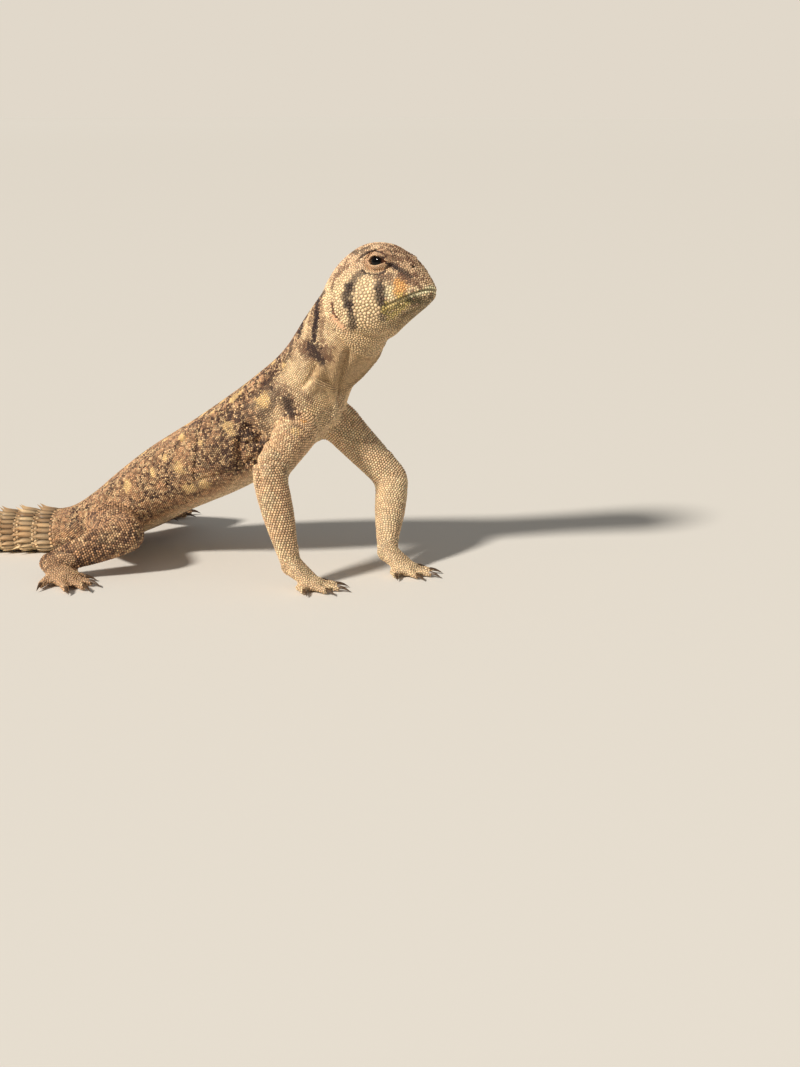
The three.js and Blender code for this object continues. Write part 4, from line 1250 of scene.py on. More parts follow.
def claw_shape():
    """A curved, tapering claw along +X, its root at the origin and its back up, in millimetres."""
    bpy.ops.mesh.primitive_circle_add(
        vertices=CLAW_SIDES, radius=CLAW_RADIUS, fill_type="NGON",
        location=(-CLAW_SUNK, 0, 0), rotation=(0, math.pi / 2, 0),
    )
    shape = bpy.context.active_object
    shape.name = "claw_shape"
    select_only([shape])
    bpy.ops.object.transform_apply(location=True, rotation=True, scale=True)
    set_mode("EDIT")
    bpy.ops.mesh.select_all(action="SELECT")
    length = CLAW_LENGTH + CLAW_SUNK
    for i in range(CLAW_STEPS):
        sink = CLAW_BOW * (math.sin(math.pi * i / CLAW_STEPS) - math.sin(math.pi * (i + 1) / CLAW_STEPS))
        shrink = (1 - ((i + 1) / CLAW_STEPS) ** CLAW_TAPER) / (1 - (i / CLAW_STEPS) ** CLAW_TAPER)
        shrink = max(shrink, CLAW_END)
        bpy.ops.mesh.extrude_region_move(TRANSFORM_OT_translate={"value": (length / CLAW_STEPS, 0, -sink)})
        bpy.ops.transform.resize(value=(1, shrink * CLAW_FIT, shrink))
    bpy.ops.mesh.merge(type="CENTER")
    set_mode("OBJECT")
    edit_whole(shape, bpy.ops.mesh.normals_make_consistent, inside=False)
    return shape


def turned_to(start, tip):
    """A matrix whose x axis runs from start to tip and whose z axis stays as upright as it can."""
    ahead = Vector(unit(tip - start))
    side = Vector((0, 0, 1)).cross(ahead).normalized()
    return Matrix((ahead, side, ahead.cross(side))).transposed()


def put_claws(shape):
    """One claw at every toe, all joined into one piece."""
    pattern = np.array([corner.co[:] for corner in shape.data.vertices])
    sides = [tuple(face.vertices) for face in shape.data.polygons]
    points, faces = [], []
    for toes in limb_toes.values():
        for _, _, root, tip in toes:
            start = sum(len(part) for part in points)
            size = CLAW_FIT * norm(tip - root) / CLAW_LENGTH
            points.append(pattern * [size, 1, 1] @ np.array(turned_to(root, tip)).T + root)
            faces.extend(tuple(start + v for v in side) for side in sides)
    bpy.data.objects.remove(shape)
    return new_piece("claws", np.concatenate(points), faces)


claws = put_claws(claw_shape())
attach(claws, "root")
print("claws:", len(claws.data.polygons), "faces")

# %% [markdown]
# The eyeballs are smooth balls with a slight swelling in front, the cornea. The pole of each ball looks out
# through the lids, so the rings of the pupil and the iris can be told from the distance to that pole.

# %% Eyeballs
CORNEA = {"rise": 0.12, "spread": 1.3, "fades": (0.4, 1.8)}
BALL_FIT = 0.995


def eyeball(name, side):
    bpy.ops.mesh.primitive_uv_sphere_add(segments=48, ring_count=32, radius=EYE_RADIUS * BALL_FIT)
    ball = bpy.context.active_object
    ball.name = name
    ball.data.name = name
    local = np.array([corner.co[:] for corner in ball.data.vertices])
    front = np.hypot(local[:, 0], local[:, 1])
    swelling = np.where(local[:, 2] > 0, 1 - ease(front / CORNEA["spread"], *CORNEA["fades"]), 0)
    local[:, 2] += CORNEA["rise"] * swelling
    put_corners(ball.data, out_of_eye(local[:, 0], local[:, 1] * -side, local[:, 2], side))
    store(ball.data, "eye_ring", "FLOAT", np.where(local[:, 2] > 0, front / EYE_RADIUS, 1.0))
    bpy.ops.object.shade_smooth()
    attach(ball, "root")
    return ball


eyeballs = {name: eyeball(name, side) for name, side in (("eyeball_right", -1), ("eyeball_left", 1))}
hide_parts("eye_right")
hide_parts("eye_left")
print("eyeballs:", [ball.location[:] for ball in eyeballs.values()])

# %% [markdown]
# Scales. Each scale is a low dome on the skin. First its place is found: in even rows round the trunk and the
# limbs, as lizard scales grow, and evenly scattered on the head, hands and feet, where they are irregular.
# Then its outline: in a few directions it reaches half way to its nearest neighbours, so that scales fill the
# skin like tiles, large ones next to small ones.

# %% Places for scales in rows
TRUNK_PITCH = 0.64
BELLY_PITCH = 0.8
NECK_PITCH = 0.66
THROAT_PITCH = 0.52
LIMB_PITCH = 0.84
# Rows stand this share of the pitch apart, because each is shifted by half a scale
ROW_SHARE = 0.87
ROWS_END = 114
LIMB_SPILL = 6.0
OWN_REACH = 0.5
RAYS = 160
CHEST = {"at": 68, "from": -0.4}
BELLY = {"from": 0.2, "to": 0.7}
final_tree = skin_tree()
skin_faces = [tuple(face.vertices) for face in skin.data.polygons]
skin_normals = normals(skin.data)


def on_skin(points):
    """The nearest places on the skin, and its smooth direction there."""
    places, ways = np.empty((len(points), 3)), np.empty((len(points), 3))
    for i, point in enumerate(points):
        spot, _, face, _ = final_tree.find_nearest(Vector(point))
        places[i] = spot
        ways[i] = skin_normals[list(skin_faces[face])].mean(0)
    return places, unit(ways)


def ring_of_scales(origin, right, up, pitch_of, shift):
    """Places on the skin round one point of an axis, about a pitch apart along the skin."""
    turns = np.linspace(-math.pi, math.pi, RAYS + 1)
    hits = []
    for turn in turns[:-1]:
        way = Vector(right * math.sin(turn) + up * math.cos(turn))
        spot = final_tree.ray_cast(Vector(origin), way)[0]
        hits.append(origin if spot is None else np.array(spot))
    hits = np.array(hits + hits[:1])
    pitches = pitch_of(turns)
    steps = norm(np.diff(hits, axis=0), axis=1) / ((pitches[1:] + pitches[:-1]) / 2)
    count = np.concatenate([[0], np.cumsum(steps)])
    total = int(count[-1])
    wanted = (np.arange(total) + shift) * count[-1] / max(total, 1)
    return np.stack([np.interp(wanted, count, hits[:, k]) for k in range(3)], axis=-1)


def pitch_on_body(at, turns):
    """How far apart the scales stand at a place along the body and round it."""
    low = BELLY_PITCH + (THROAT_PITCH - BELLY_PITCH) * ease(at, 80, 90)
    plain = TRUNK_PITCH + (NECK_PITCH - TRUNK_PITCH) * ease(at, 80, 95)
    low_from = np.where(at > CHEST["at"], CHEST["from"], BELLY["from"])
    below = ease(-np.cos(turns), low_from, BELLY["to"])
    return plain + (low - plain) * below


def rows_of_scales(rows):
    """Where the scales of all rows are, and which way they lie. Every second row is shifted half a scale."""
    places, lies = [], []
    for number, (origin, lie, right, up, pitch_of) in enumerate(rows):
        places.append(ring_of_scales(origin, right, up, pitch_of, 0.5 * (number % 2)))
        lies.append(np.repeat(lie[None], len(places[-1]), 0))
    return np.concatenate(places), np.concatenate(lies)


def rows_on_body():
    """Rows of the trunk and neck."""
    for at in np.arange(WHORL["first"] - 0.3, ROWS_END, TRUNK_PITCH * ROW_SHARE):
        origin, ahead, right, up = line_axes(at)
        yield origin, -ahead, right, up, lambda turns: pitch_on_body(np.full(len(turns), at), turns)


def rows_on_bone(start, end):
    """Rows round a straight bone, and a little past both its ends."""
    ahead = unit(end - start)
    right = unit(np.cross(ahead, [0.0, 0.0, 1.0])) if abs(ahead[2]) < 0.95 else np.array([1.0, 0, 0])
    up = np.cross(right, ahead)
    length = norm(end - start)
    for along in np.arange(-LIMB_SPILL, length + LIMB_SPILL, LIMB_PITCH * ROW_SHARE):
        yield start + ahead * along, ahead, right, up, lambda turns: np.full(len(turns), LIMB_PITCH)


def owned(rows, *words):
    """Keeps the scales on these nodes, moved onto the skin, with the skin's direction there."""
    places, lies = rows_of_scales(rows)
    spots, ways = on_skin(places)
    close = norm(spots - places, axis=1) < OWN_REACH
    mine = close & is_one_of(owner_of(spots), *words)
    return spots[mine], ways[mine], lies[mine]


body_scales = owned(rows_on_body(), "torso", "neck", "tail_base")
limb_scales = []
for limb in LIMBS:
    root, middle, end = limb_bones[limb[0]]
    upper, lower = ("upper_arm", "forearm") if limb[0].startswith("front") else ("thigh", "shank")
    for start, stop, word in ((root, middle, upper), (middle, end, lower)):
        limb_scales.append(owned(rows_on_bone(start, stop), limb[0] + "_" + word))
limb_count = sum(len(part[0]) for part in limb_scales)
print("scales in rows:", len(body_scales[0]), "on the body,", limb_count, "on limbs")

# %% Places for scattered scales
HEAD_PITCH = {"plain": 0.64, "cheek": 0.95, "lid": 0.36, "lip": 0.8, "temple": 0.78}
HAND_PITCH = 0.62
# Random places tried per square of the spacing, nearest that two kept ones may stand, and how they spread
TRIES = 11
NEAREST = 0.86
SCATTER_PASSES = 6
SPREAD_TO = 1.08
SPREAD_STEP = 0.45
# Bare strips and rings, in millimetres from the mouth line, lids' edge, ear slit, drum and nostril
CLEAR = {"mouth": 0.3, "lids": 0.12, "ear": 0.3, "drum": 0.7, "nostril": 0.62}


def head_pitch(points):
    """How far apart the scales of the head stand."""
    local = to_head(points)
    x, aside, z = local[:, 0], np.abs(local[:, 1]), local[:, 2]
    pitch = np.full(len(points), HEAD_PITCH["plain"])
    temple = ease(8 - x, 0, 5) * ease(5 - np.abs(z), -2, 2)
    pitch += (HEAD_PITCH["temple"] - pitch) * temple
    cheek = bell(x - 9.5, 7.5) * ease(aside, 5, 8)
    cheek = cheek * (1 - ease(z, 0.5, 3.5)) * ease(z, -13, -9)
    pitch += (HEAD_PITCH["cheek"] - pitch) * np.minimum(1, cheek * 1.3)
    for side in (-1, 1):
        gap = orbit_gap(*in_eye(points, side))
        pitch += (HEAD_PITCH["lid"] - pitch) * (1 - ease(gap, -0.6, 0.9))
    return pitch


def skin_samples(chosen, spacing, seed):
    """Random places on the chosen faces of the skin, a set number per square of the spacing."""
    random = np.random.default_rng(seed)
    fans = [(f[0], f[i], f[i + 1]) for f in (skin_faces[n] for n in chosen) for i in range(1, len(f) - 1)]
    triangles = corners(skin.data)[np.array(fans)]
    first, second, third = (triangles[:, k] for k in range(3))
    areas = norm(np.cross(second - first, third - first), axis=1) / 2
    count = int(areas.sum() / spacing ** 2 * TRIES)
    picked = random.choice(len(fans), count, p=areas / areas.sum())
    one, two = random.random((2, count))
    root = np.sqrt(one)
    shares = np.stack([1 - root, root * (1 - two), root * two], axis=-1)
    return (triangles[picked] * shares[:, :, None]).sum(1)


def thin_out(places, pitches, fixed):
    """Keeps places that stand at least their pitch from every place kept before."""
    size = float(pitches.max())
    grid, kept = {}, []
    for number, (place, pitch) in enumerate(zip(places, pitches)):
        key = tuple(int(v) for v in np.floor(place / size))
        cells = [tuple(k + step for k, step in zip(key, steps)) for steps in product((-1, 0, 1), repeat=3)]
        close = any(
            (x - place[0]) ** 2 + (y - place[1]) ** 2 + (z - place[2]) ** 2 < (NEAREST * pitch) ** 2
            for cell in cells for x, y, z in grid.get(cell, ())
        )
        if number < fixed or not close:
            grid.setdefault(key, []).append(tuple(place))
            kept.append(number)
    return np.array(kept)


def spread_out(places, pitch_of, fixed):
    """Pushes places apart until they stand evenly, keeping them on the skin and the first ones still."""
    for _ in range(SCATTER_PASSES):
        pitches = pitch_of(places)
        near = neighbours(places, 6)
        away = places[:, None] - places[near]
        gaps = norm(away, axis=2)
        short = np.maximum(0, SPREAD_TO * pitches[:, None] - gaps)
        push = away / np.maximum(gaps, 1e-6)[:, :, None] * short[:, :, None]
        moved = places + SPREAD_STEP * push.sum(1)
        moved[:fixed] = places[:fixed]
        places = on_skin(moved)[0]
    return places


def neighbours(places, count):
    """The numbers of the nearest places to each place."""
    tree = KDTree(len(places))
    for number, place in enumerate(places):
        tree.insert(place, number)
    tree.balance()
    found = np.empty((len(places), count), np.int64)
    for number, place in enumerate(places):
        close = [hit[1] for hit in tree.find_n(place, count + 1)]
        found[number] = [one for one in close if one != number][:count]
    return found


def lip_row(offset):
    """Places along the lips at a height above or below the mouth line."""
    found = []
    for turn in np.arange(-1.25, 1.25, 0.006):
        way = head_turn @ np.array([math.cos(turn * 1.2), math.sin(turn * 1.2), 0])
        x = 22.0
        for _ in range(3):
            start = from_head(np.array([13.0, 0.0, mouth_height(x) + offset]))
            spot = final_tree.ray_cast(Vector(start), Vector(way))[0]
            x = to_head(np.array(spot))[0]
        if x > MOUTH["corner"] - 1:
            found.append(np.array(spot))
    return spaced(found, HEAD_PITCH["lip"])


def spaced(places, pitch):
    """Every place of a line that is a pitch further along it than the last."""
    kept = [places[0]]
    for place in places:
        if norm(place - kept[-1]) >= pitch:
            kept.append(place)
    return kept


def lid_row(side, out):
    """Places round the opening of the lids."""
    found = []
    for turn in np.arange(0, 2 * math.pi, 0.02):
        a = (OPENING["a"] + 0.5 * out) * math.cos(turn)
        half = OPENING["up"] if turn < math.pi else OPENING["low"]
        b = (half * (1 - min(1, (a / OPENING["a"]) ** 2)) + out) * np.sign(math.sin(turn))
        start = out_of_eye(a, b, 9.0, side)[0]
        way = from_head(-eye_axes(side)[3]) - head_origin
        spot = final_tree.ray_cast(Vector(start), Vector(way))[0]
        if spot is not None:
            found.append(np.array(spot))
    return spaced(found, HEAD_PITCH["lid"])


def kept_clear(points):
    """True where the head has no scales: in the mouth, the nostrils, the ears and between the lids."""
    local = to_head(points)
    off_mouth = np.abs(local[:, 2] - mouth_height(local[:, 0]))
    bare = (local[:, 0] > MOUTH["corner"] - 0.5) & (off_mouth < CLEAR["mouth"])
    for side in (-1, 1):
        a, b, c = in_eye(points, side)
        bare |= (c > 0) & (np.hypot(a, b) < 6) & (slit_gap(a, b) < CLEAR["lids"])
    for line, drum in zip(ear_lines, drum_lines):
        bare |= gap_to_line(points, line)[0] < CLEAR["ear"]
        bare |= gap_to_line(points, drum)[0] < CLEAR["drum"]
    for spot in nostril_spots:
        bare |= norm(points - spot, axis=1) < CLEAR["nostril"]
    return bare


def scatter(words, pitch_of, spacing, fixed, seed):
    """Evenly scattered places on the nodes whose names hold these words."""
    owners = owner_of(np.array([f.center[:] for f in skin.data.polygons]) / MM)
    chosen = np.where(is_one_of(owners, *words))[0]
    places = skin_samples(chosen, spacing, seed)
    places = np.concatenate([fixed, places])
    kept = thin_out(places, pitch_of(places), len(fixed))
    places = spread_out(places[kept], pitch_of, len(fixed))
    mine = is_one_of(owner_of(places), *words) & ~kept_clear(places)
    return places[mine], on_skin(places[mine])[1]


LIP_ROW = 0.62
LID_ROW = 0.32
HEAD_SPACING = 0.62
fixed = lip_row(LIP_ROW) + lip_row(-LIP_ROW)
for side in (-1, 1):
    fixed += lid_row(side, LID_ROW)
head_places, head_ways = scatter(("head",), head_pitch, HEAD_SPACING, np.array(fixed), 11)
head_lies = np.repeat((head_turn @ np.array([-1.0, 0, 0]))[None], len(head_places), 0)
hand_places, hand_ways = scatter(
    ("hand", "foot"), lambda points: np.full(len(points), HAND_PITCH), HAND_PITCH, np.empty((0, 3)), 12
)
print("scattered scales:", len(head_places), "on the head,", len(hand_places), "on hands and feet")

# %% [markdown]
# From places to shells. In each direction the scale's edge lies half way to its neighbours; the rim is sunk a
# little into the skin and the middle stands up. Each scale keeps one colour, asked from the markings at its
# root, a little lighter or darker than the next. Its map for baking is a small patch at its root's place on
# the skin laid flat, along the body and round it.

# %% Build the shells
PATCH = 0.0015
SHELL_SINK = 0.07
TONE_RANGE = 0.2
WIDEST = 0.72
# The rim's and the inner ring's share of a scale's outline, the ring's height, and how far back the top lies
RIM_SHARE = 0.93
RING_SHARE = 0.62
RING_HEIGHT = 0.85
TOP_SET_BACK = 0.1
# The ring's relief, which sets how much painted shade the material puts on it
RING_RELIEF = 0.75


def outlines(places, ways, lies, pitch, sides):
    """In each direction, how far a scale reaches."""
    near = neighbours(places, 8)
    gaps = places[near] - places[:, None]
    lies = unit(lies - (lies * ways).sum(1)[:, None] * ways)
    asides = np.cross(ways, lies)
    turns = np.arange(sides) * 2 * math.pi / sides
    spokes = lies[:, None] * np.cos(turns)[None, :, None] + asides[:, None] * np.sin(turns)[None, :, None]
    facing = np.einsum("nkc,nsc->nks", gaps, spokes)
    reach = (gaps ** 2).sum(-1)[:, :, None] / np.maximum(2 * facing, 1e-6)
    reach = np.where(facing > 1e-3, reach, 9.0).min(1)
    return np.minimum(reach, WIDEST * pitch[:, None]), spokes, lies


def unwrapped(along, around, island=0, islands=1):
    """A place on the map: along the piece and round it, with one band for each island."""
    band = 1 / islands
    u = 0.01 + 0.98 * (along - along.min()) / max(float(np.ptp(along)), 1e-6)
    v = (around - around.min()) / max(float(np.ptp(around)), 1e-6)
    return np.stack([u, (island + 0.03 + 0.94 * v) * band], axis=-1)


def shells(name, places, ways, lies, pitch, maps, sides, height, slot, seed):
    """One mesh of all these scales: low domes with one ring between the rim and the top."""
    random = np.random.default_rng(seed)
    count = len(places)
    reach, spokes, lies = outlines(places, ways, lies, pitch, sides)
    tall = (height * pitch * random.uniform(0.85, 1.15, count))[:, None, None] * ways[:, None]
    rows = []
    for share, rise in ((RIM_SHARE, -SHELL_SINK * ways[:, None]), (RING_SHARE, tall * RING_HEIGHT)):
        rows.append(places[:, None] + spokes * (reach * share)[:, :, None] + rise)
    top = places[:, None] + tall + TOP_SET_BACK * pitch[:, None, None] * lies[:, None]
    points = np.concatenate(rows + [top], axis=1)
    size = points.shape[1]
    faces = []
    for k in range(sides):
        other = (k + 1) % sides
        faces.append((k, other, sides + other))
        faces.append((k, sides + other, sides + k))
        faces.append((sides + k, sides + other, 2 * sides))
    faces = np.array(faces)
    every = (faces[None] + (np.arange(count) * size)[:, None, None]).reshape(-1, 3)
    flat = points.reshape(-1, 3)
    flat[:, 2] = np.maximum(flat[:, 2], 0.0)
    piece = new_piece(name, flat, every.tolist(), False)
    tone = paint(places, owner_of(places)) * random.uniform(1 - TONE_RANGE, 1 + TONE_RANGE, (count, 1))
    store_paint(piece.data, np.repeat(tone, size, 0))
    # Relief: 0 at the sunk rim, RING_RELIEF at the ring and 1 at the top. The material paints shade where it is
    # low.
    relief = np.array([0.0] * sides + [RING_RELIEF] * sides + [1.0])
    store(piece.data, "relief", "FLOAT", np.tile(relief, count))
    turns = np.arange(sides) * 2 * math.pi / sides
    circle = PATCH * np.stack([np.cos(turns), np.sin(turns)], axis=-1)
    patch = np.concatenate([circle, circle * 0.6, np.zeros((1, 2))])
    put_map(piece.data, (maps[:, None] + patch[None]).reshape(-1, 2), every.ravel())
    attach(piece, "root")
    print(name, count, "scales,", len(every), "faces")
    return piece


def put_map(mesh, spots, numbers):
    """The map for baking: the spot of each corner of each face, by the number of the corner."""
    layer = mesh.uv_layers.new(name="OFBake")
    layer.data.foreach_set("uv", spots[numbers].astype(np.float32).ravel())


coat = []
places, ways, lies = body_scales
at, angle = body_place(places)
below = np.cos(angle) < -0.3
parts = {
    "scales_hips": (~below & (at < 26), "skin"),
    "scales_trunk": (~below & (at >= 26) & (at < 62), "skin"),
    "scales_shoulders": (~below & (at >= 62), "skin"),
    "scales_belly": (below, "pale_skin"),
}
body_pitch = pitch_on_body(at, angle)
for number, (name, (mine, slot)) in enumerate(parts.items()):
    around = np.where(below[mine], angle[mine] % (2 * math.pi), angle[mine])
    coat.append(shells(
        name, places[mine], ways[mine], lies[mine], body_pitch[mine], unwrapped(at[mine], around),
        6, 0.35, slot, 20 + number,
    ))

# %% Scales on limbs, hands and head
for number, limb in enumerate(LIMBS):
    parts = limb_scales[2 * number:2 * number + 2]
    places, ways, lies = (np.concatenate([part[k] for part in parts]) for k in range(3))
    maps = []
    for island, part in enumerate(parts):
        bone = limb_bones[limb[0]]
        ahead = unit(bone[island + 1] - bone[island])
        right = unit(np.cross(ahead, [0.0, 0.3, 1.0]))
        away = part[0] - bone[island]
        around = np.arctan2(away @ right, away @ np.cross(right, ahead))
        maps.append(unwrapped(away @ ahead, around, island, 2))
    coat.append(shells(
        "scales_" + limb[0], places, ways, lies, np.full(len(places), LIMB_PITCH), np.concatenate(maps),
        6, 0.34, "skin", 30 + number,
    ))

hand_owner = owner_of(hand_places)
hand_maps = np.zeros((len(hand_places), 2))
hand_lies = np.zeros((len(hand_places), 3))
for number, limb in enumerate(LIMBS):
    mine = is_one_of(hand_owner, limb[0])
    ahead, across = heading(limb[8]), heading(limb[8] + 90)
    away = hand_places[mine] - limb_bones[limb[0]][2]
    below = hand_ways[mine][:, 2] < -0.2
    for part, island in ((~below, 2 * number), (below, 2 * number + 1)):
        where = np.where(mine)[0][part]
        hand_maps[where] = unwrapped(away[part] @ ahead, away[part] @ across, island, 8)
    hand_lies[mine] = ahead
coat.append(shells(
    "scales_hands", hand_places, hand_ways, hand_lies, np.full(len(hand_places), HAND_PITCH), hand_maps,
    6, 0.26, "skin", 40,
))
local = to_head(head_places)
head_maps = unwrapped(local[:, 0], np.arctan2(local[:, 1], local[:, 2] + 2.0))
coat.append(shells(
    "scales_head", head_places, head_ways, head_lies, head_pitch(head_places), head_maps,
    8, 0.34, "skin", 50,
))

# %% [markdown]
# The tail's armour. Each whorl starts with a row of small plain scales. Behind them stands a ring of keeled
# plates, whose keels rise towards the back and end in spines that jut out over the next whorl. Below the tail
# the plates are flat. Every plate is bent round the tail by the body line, so the rings follow its curve.

# %% Tail plates
PLATES_FIRST = 24
PLATES_LAST = 12
PLATE_ROWS = (0.3, 0.5, 0.72, 0.9, 1.0)
PLATE_WIDTHS = (0.8, 0.98, 1.0, 0.88, 0.5)
PLATE_COLUMNS = (-1.0, -0.5, 0.0, 0.5, 1.0)
PLATE_SIZE = len(PLATE_ROWS) * len(PLATE_COLUMNS) + 2
PLATE_FLAT = [(u * 0.9, 2.8 * v - 1.8) for v in PLATE_ROWS for u in PLATE_COLUMNS] + [(0, 1.3), (0, -1.2)]
# Relief of each plate corner: low at the plate's front and sides, 1 at the spine's tip and 0 at the sunk
# middle. The tail's material paints shade where it is low.
PLATE_RELIEF = [
    (0.25 + 0.55 * v) * (1 - 0.8 * u * u) for v in PLATE_ROWS for u in PLATE_COLUMNS
] + [1.0, 0.0]
PLATE = {"rim": -0.15, "edge": 0.06, "keel": 0.85, "gap": 0.05, "lowest": 0.1, "low_rim": 0.1, "below": 0.3}
TAIL_CAP = (0.82, 0.5, 0.12)
TAIL_SPINE = {"backward": 2.1, "outward": 1.8, "smallest": 0.5, "flank": 1.0, "back": 0.8, "end": 0.3}
# Below the tail, past so many degrees from its top, the plates are flat and their spines this short
SPINES_REACH = 118
FLAT_SPINE = {"backward": 0.5, "outward": 0.05}
ROWS_IN_FRONT = (0.08, 0.24)
ROW_DENSITY = 1.35
RING_PITCH = {"first": 1.15, "last": 0.7}
SHADE_ANGLE = math.radians(35)


def plate_count(share):
    return int(round(PLATES_FIRST + (PLATES_LAST - PLATES_FIRST) * share))


def plate_points(front, back, angle, half, size, flat):
    """The corners of one plate: a grid from front to back, the spine's tip, and a sunken middle."""
    points = []
    length = front - back
    for v, width in zip(PLATE_ROWS, PLATE_WIDTHS):
        at = front - v * length
        ridge = PLATE["keel"] * (PLATE["lowest"] + 0.9 * v ** 2.2) * size * (PLATE["below"] if flat else 1.0)
        for u in PLATE_COLUMNS:
            middle = 1 - abs(u)
            edge = (PLATE["edge"] - PLATE["rim"]) * min(1, middle * 3)
            height = PLATE["rim"] + edge + ridge * middle ** 1.3
            if v == PLATE_ROWS[0]:
                height = PLATE["rim"] + PLATE["low_rim"] * middle
            turn = np.array([angle + u * half * width])
            points.append(body_ring(at, turn, whorl_sink(at + 0.01) - height)[0])
    root = points[-3]
    centre, ahead, _, _ = line_axes(back)
    out = unit(root - centre)
    spine = FLAT_SPINE if flat else TAIL_SPINE
    rise = spine["outward"] - PLATE["keel"] * 0.8
    points.append(root - ahead * spine["backward"] * size + out * rise * size)
    points.append(body_ring(back + 0.4, np.array([angle]), whorl_sink(back + 0.5) + 0.5)[0])
    return points


def plate_faces():
    """The faces of one plate, numbered within it."""
    wide, long = len(PLATE_COLUMNS), len(PLATE_ROWS)
    faces = [
        (r * wide + c, r * wide + c + 1, (r + 1) * wide + c + 1, (r + 1) * wide + c)
        for r in range(long - 1) for c in range(wide - 1)
    ]
    tip, sunk = long * wide, long * wide + 1
    last = (long - 1) * wide
    faces += [(last + c, last + c + 1, tip) for c in range(wide - 1)]
    faces += [(tip, last + wide - 1, sunk), (last, tip, sunk)]
    faces += [(c + 1, c, sunk) for c in range(wide - 1)]
    faces += [(r * wide, (r + 1) * wide, sunk) for r in range(long - 1)]
    faces += [((r + 1) * wide + wide - 1, r * wide + wide - 1, sunk) for r in range(long - 1)]
    return faces


def tail_plates():
    random = np.random.default_rng(17)
    pattern = plate_faces()
    points, faces = [], []
    for number, (front, back, share) in enumerate(whorls()):
        count = plate_count(share)
        half = math.pi / count * (1 - PLATE["gap"])
        shift = 0.5 * (number % 2)
        for k in range(count):
            angle = (k + shift) * 2 * math.pi / count
            from_top = abs((math.degrees(angle) + 180) % 360 - 180)
            flat = from_top > SPINES_REACH
            at_flank = TAIL_SPINE["back"] + (TAIL_SPINE["flank"] - TAIL_SPINE["back"]) * abs(math.sin(angle))
            size = (1 + (TAIL_SPINE["smallest"] - 1) * share) * at_flank * random.uniform(0.85, 1.12)
            size *= TAIL_SPINE["end"] if back == TAIL_END else 1.0
            start = len(points)
            points.extend(plate_points(front, back, angle, half, size, flat))
            faces.extend(tuple(start + v for v in face) for face in pattern)
    return np.array(points), faces


def tail_rows():
    """Small scales at the front of each whorl: two rows of them, where they lie and how they face."""
    places = []
    for front, back, share in whorls():
        count = int(plate_count(share) * ROW_DENSITY)
        for row, part in enumerate(ROWS_IN_FRONT):
            turns = (np.arange(count) + 0.5 * row) * 2 * math.pi / count
            at = front - part * (front - back)
            places.append(body_ring(at, turns, whorl_sink(at - 0.01)))
    rows = len(np.concatenate(places))
    for scale in TAIL_CAP:
        count = int(14 * scale) + 1
        turns = np.arange(count) * 2 * math.pi / count
        places.append(body_ring(TAIL_END - 0.4, turns, 0.0, scale))
    spots, ways = on_skin(np.concatenate(places))
    lies = -on_line(line_ahead, body_place(spots)[0])
    lies[rows:] = [0.3, 0.2, 1.0]
    return spots, ways, lies


plate_corners, plate_sides = tail_plates()
plate_corners[:, 2] = np.maximum(plate_corners[:, 2], 0.0)
tail_coat = new_piece("tail_plates", plate_corners, plate_sides)
edit_whole(tail_coat, bpy.ops.mesh.normals_make_consistent, inside=False)
bpy.ops.object.shade_smooth_by_angle(angle=SHADE_ANGLE)
plate_middles = plate_corners.reshape(-1, PLATE_SIZE, 3)
tail_owner = np.full(len(plate_middles), FLESH.index("tail_upper"))
plate_tone = paint(plate_middles[:, PLATE_SIZE // 2], tail_owner)
plate_tone *= np.random.default_rng(18).uniform(0.85, 1.15, (len(plate_tone), 1))
store_paint(tail_coat.data, np.repeat(plate_tone, PLATE_SIZE, 0))
# The relief of the plates, which the material turns into painted shade at their fronts and sides
store(tail_coat.data, "relief", "FLOAT", np.tile(PLATE_RELIEF, len(plate_middles)))
plate_at, plate_angle = body_place(plate_middles[:, PLATE_SIZE // 2])
plate_maps = unwrapped(plate_at, plate_angle)[:, None] + PATCH * np.array(PLATE_FLAT)[None]
numbers = np.empty(len(tail_coat.data.loops), np.int64)
tail_coat.data.loops.foreach_get("vertex_index", numbers)
put_map(tail_coat.data, plate_maps.reshape(-1, 2), numbers)
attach(tail_coat, "root")
ring_places, ring_ways, ring_lies = tail_rows()
ring_at, ring_angle = body_place(ring_places)
narrowing = (RING_PITCH["last"] - RING_PITCH["first"]) * (ring_at - WHORL["first"])
ring_pitch = RING_PITCH["first"] + narrowing / (WHORL["last"] - WHORL["first"])
coat.append(shells(
    "scales_tail", ring_places, ring_ways, ring_lies, ring_pitch, unwrapped(ring_at, ring_angle),
    6, 0.26, "tail_skin", 60,
))
print("tail plates:", len(plate_sides), "faces in", len(whorls()), "whorls")

# %% [markdown]
# Materials. Two node groups are shared: one varies a colour with soft blotches and fine grain, the other
# gives the fine relief of horn. Every scale, the skin below and the tail read their colour from the "paint"
# numbers stored on the mesh and let a little light into the flesh. Scales and plates are painted darker
# towards their rim, as painted shade where they sink into the skin and under each other.

# %% Node groups
GRAIN_DEPTH = 0.00006


def set_inputs(tree, node, inputs):
    """Gives each input of a node a value, or a link when another node's output is given."""
    for socket, value in inputs.items():
        if isinstance(value, bpy.types.NodeSocket):
            tree.links.new(value, node.inputs[socket])
        else:
            node.inputs[socket].default_value = value
    return node


def add_node(tree, kind, inputs, **settings):
    node = tree.nodes.new("ShaderNode" + kind)
    for name, value in settings.items():
        setattr(node, name, value)
    return set_inputs(tree, node, inputs)


def new_group(name, inputs, outputs):
    group = bpy.data.node_groups.new(name, "ShaderNodeTree")
    for kind, title, value in inputs:
        made = group.interface.new_socket(name=title, in_out="INPUT", socket_type=kind)
        made.default_value = value
    for kind, title in outputs:
        group.interface.new_socket(name=title, in_out="OUTPUT", socket_type=kind)
    return group, group.nodes.new("NodeGroupInput"), group.nodes.new("NodeGroupOutput")


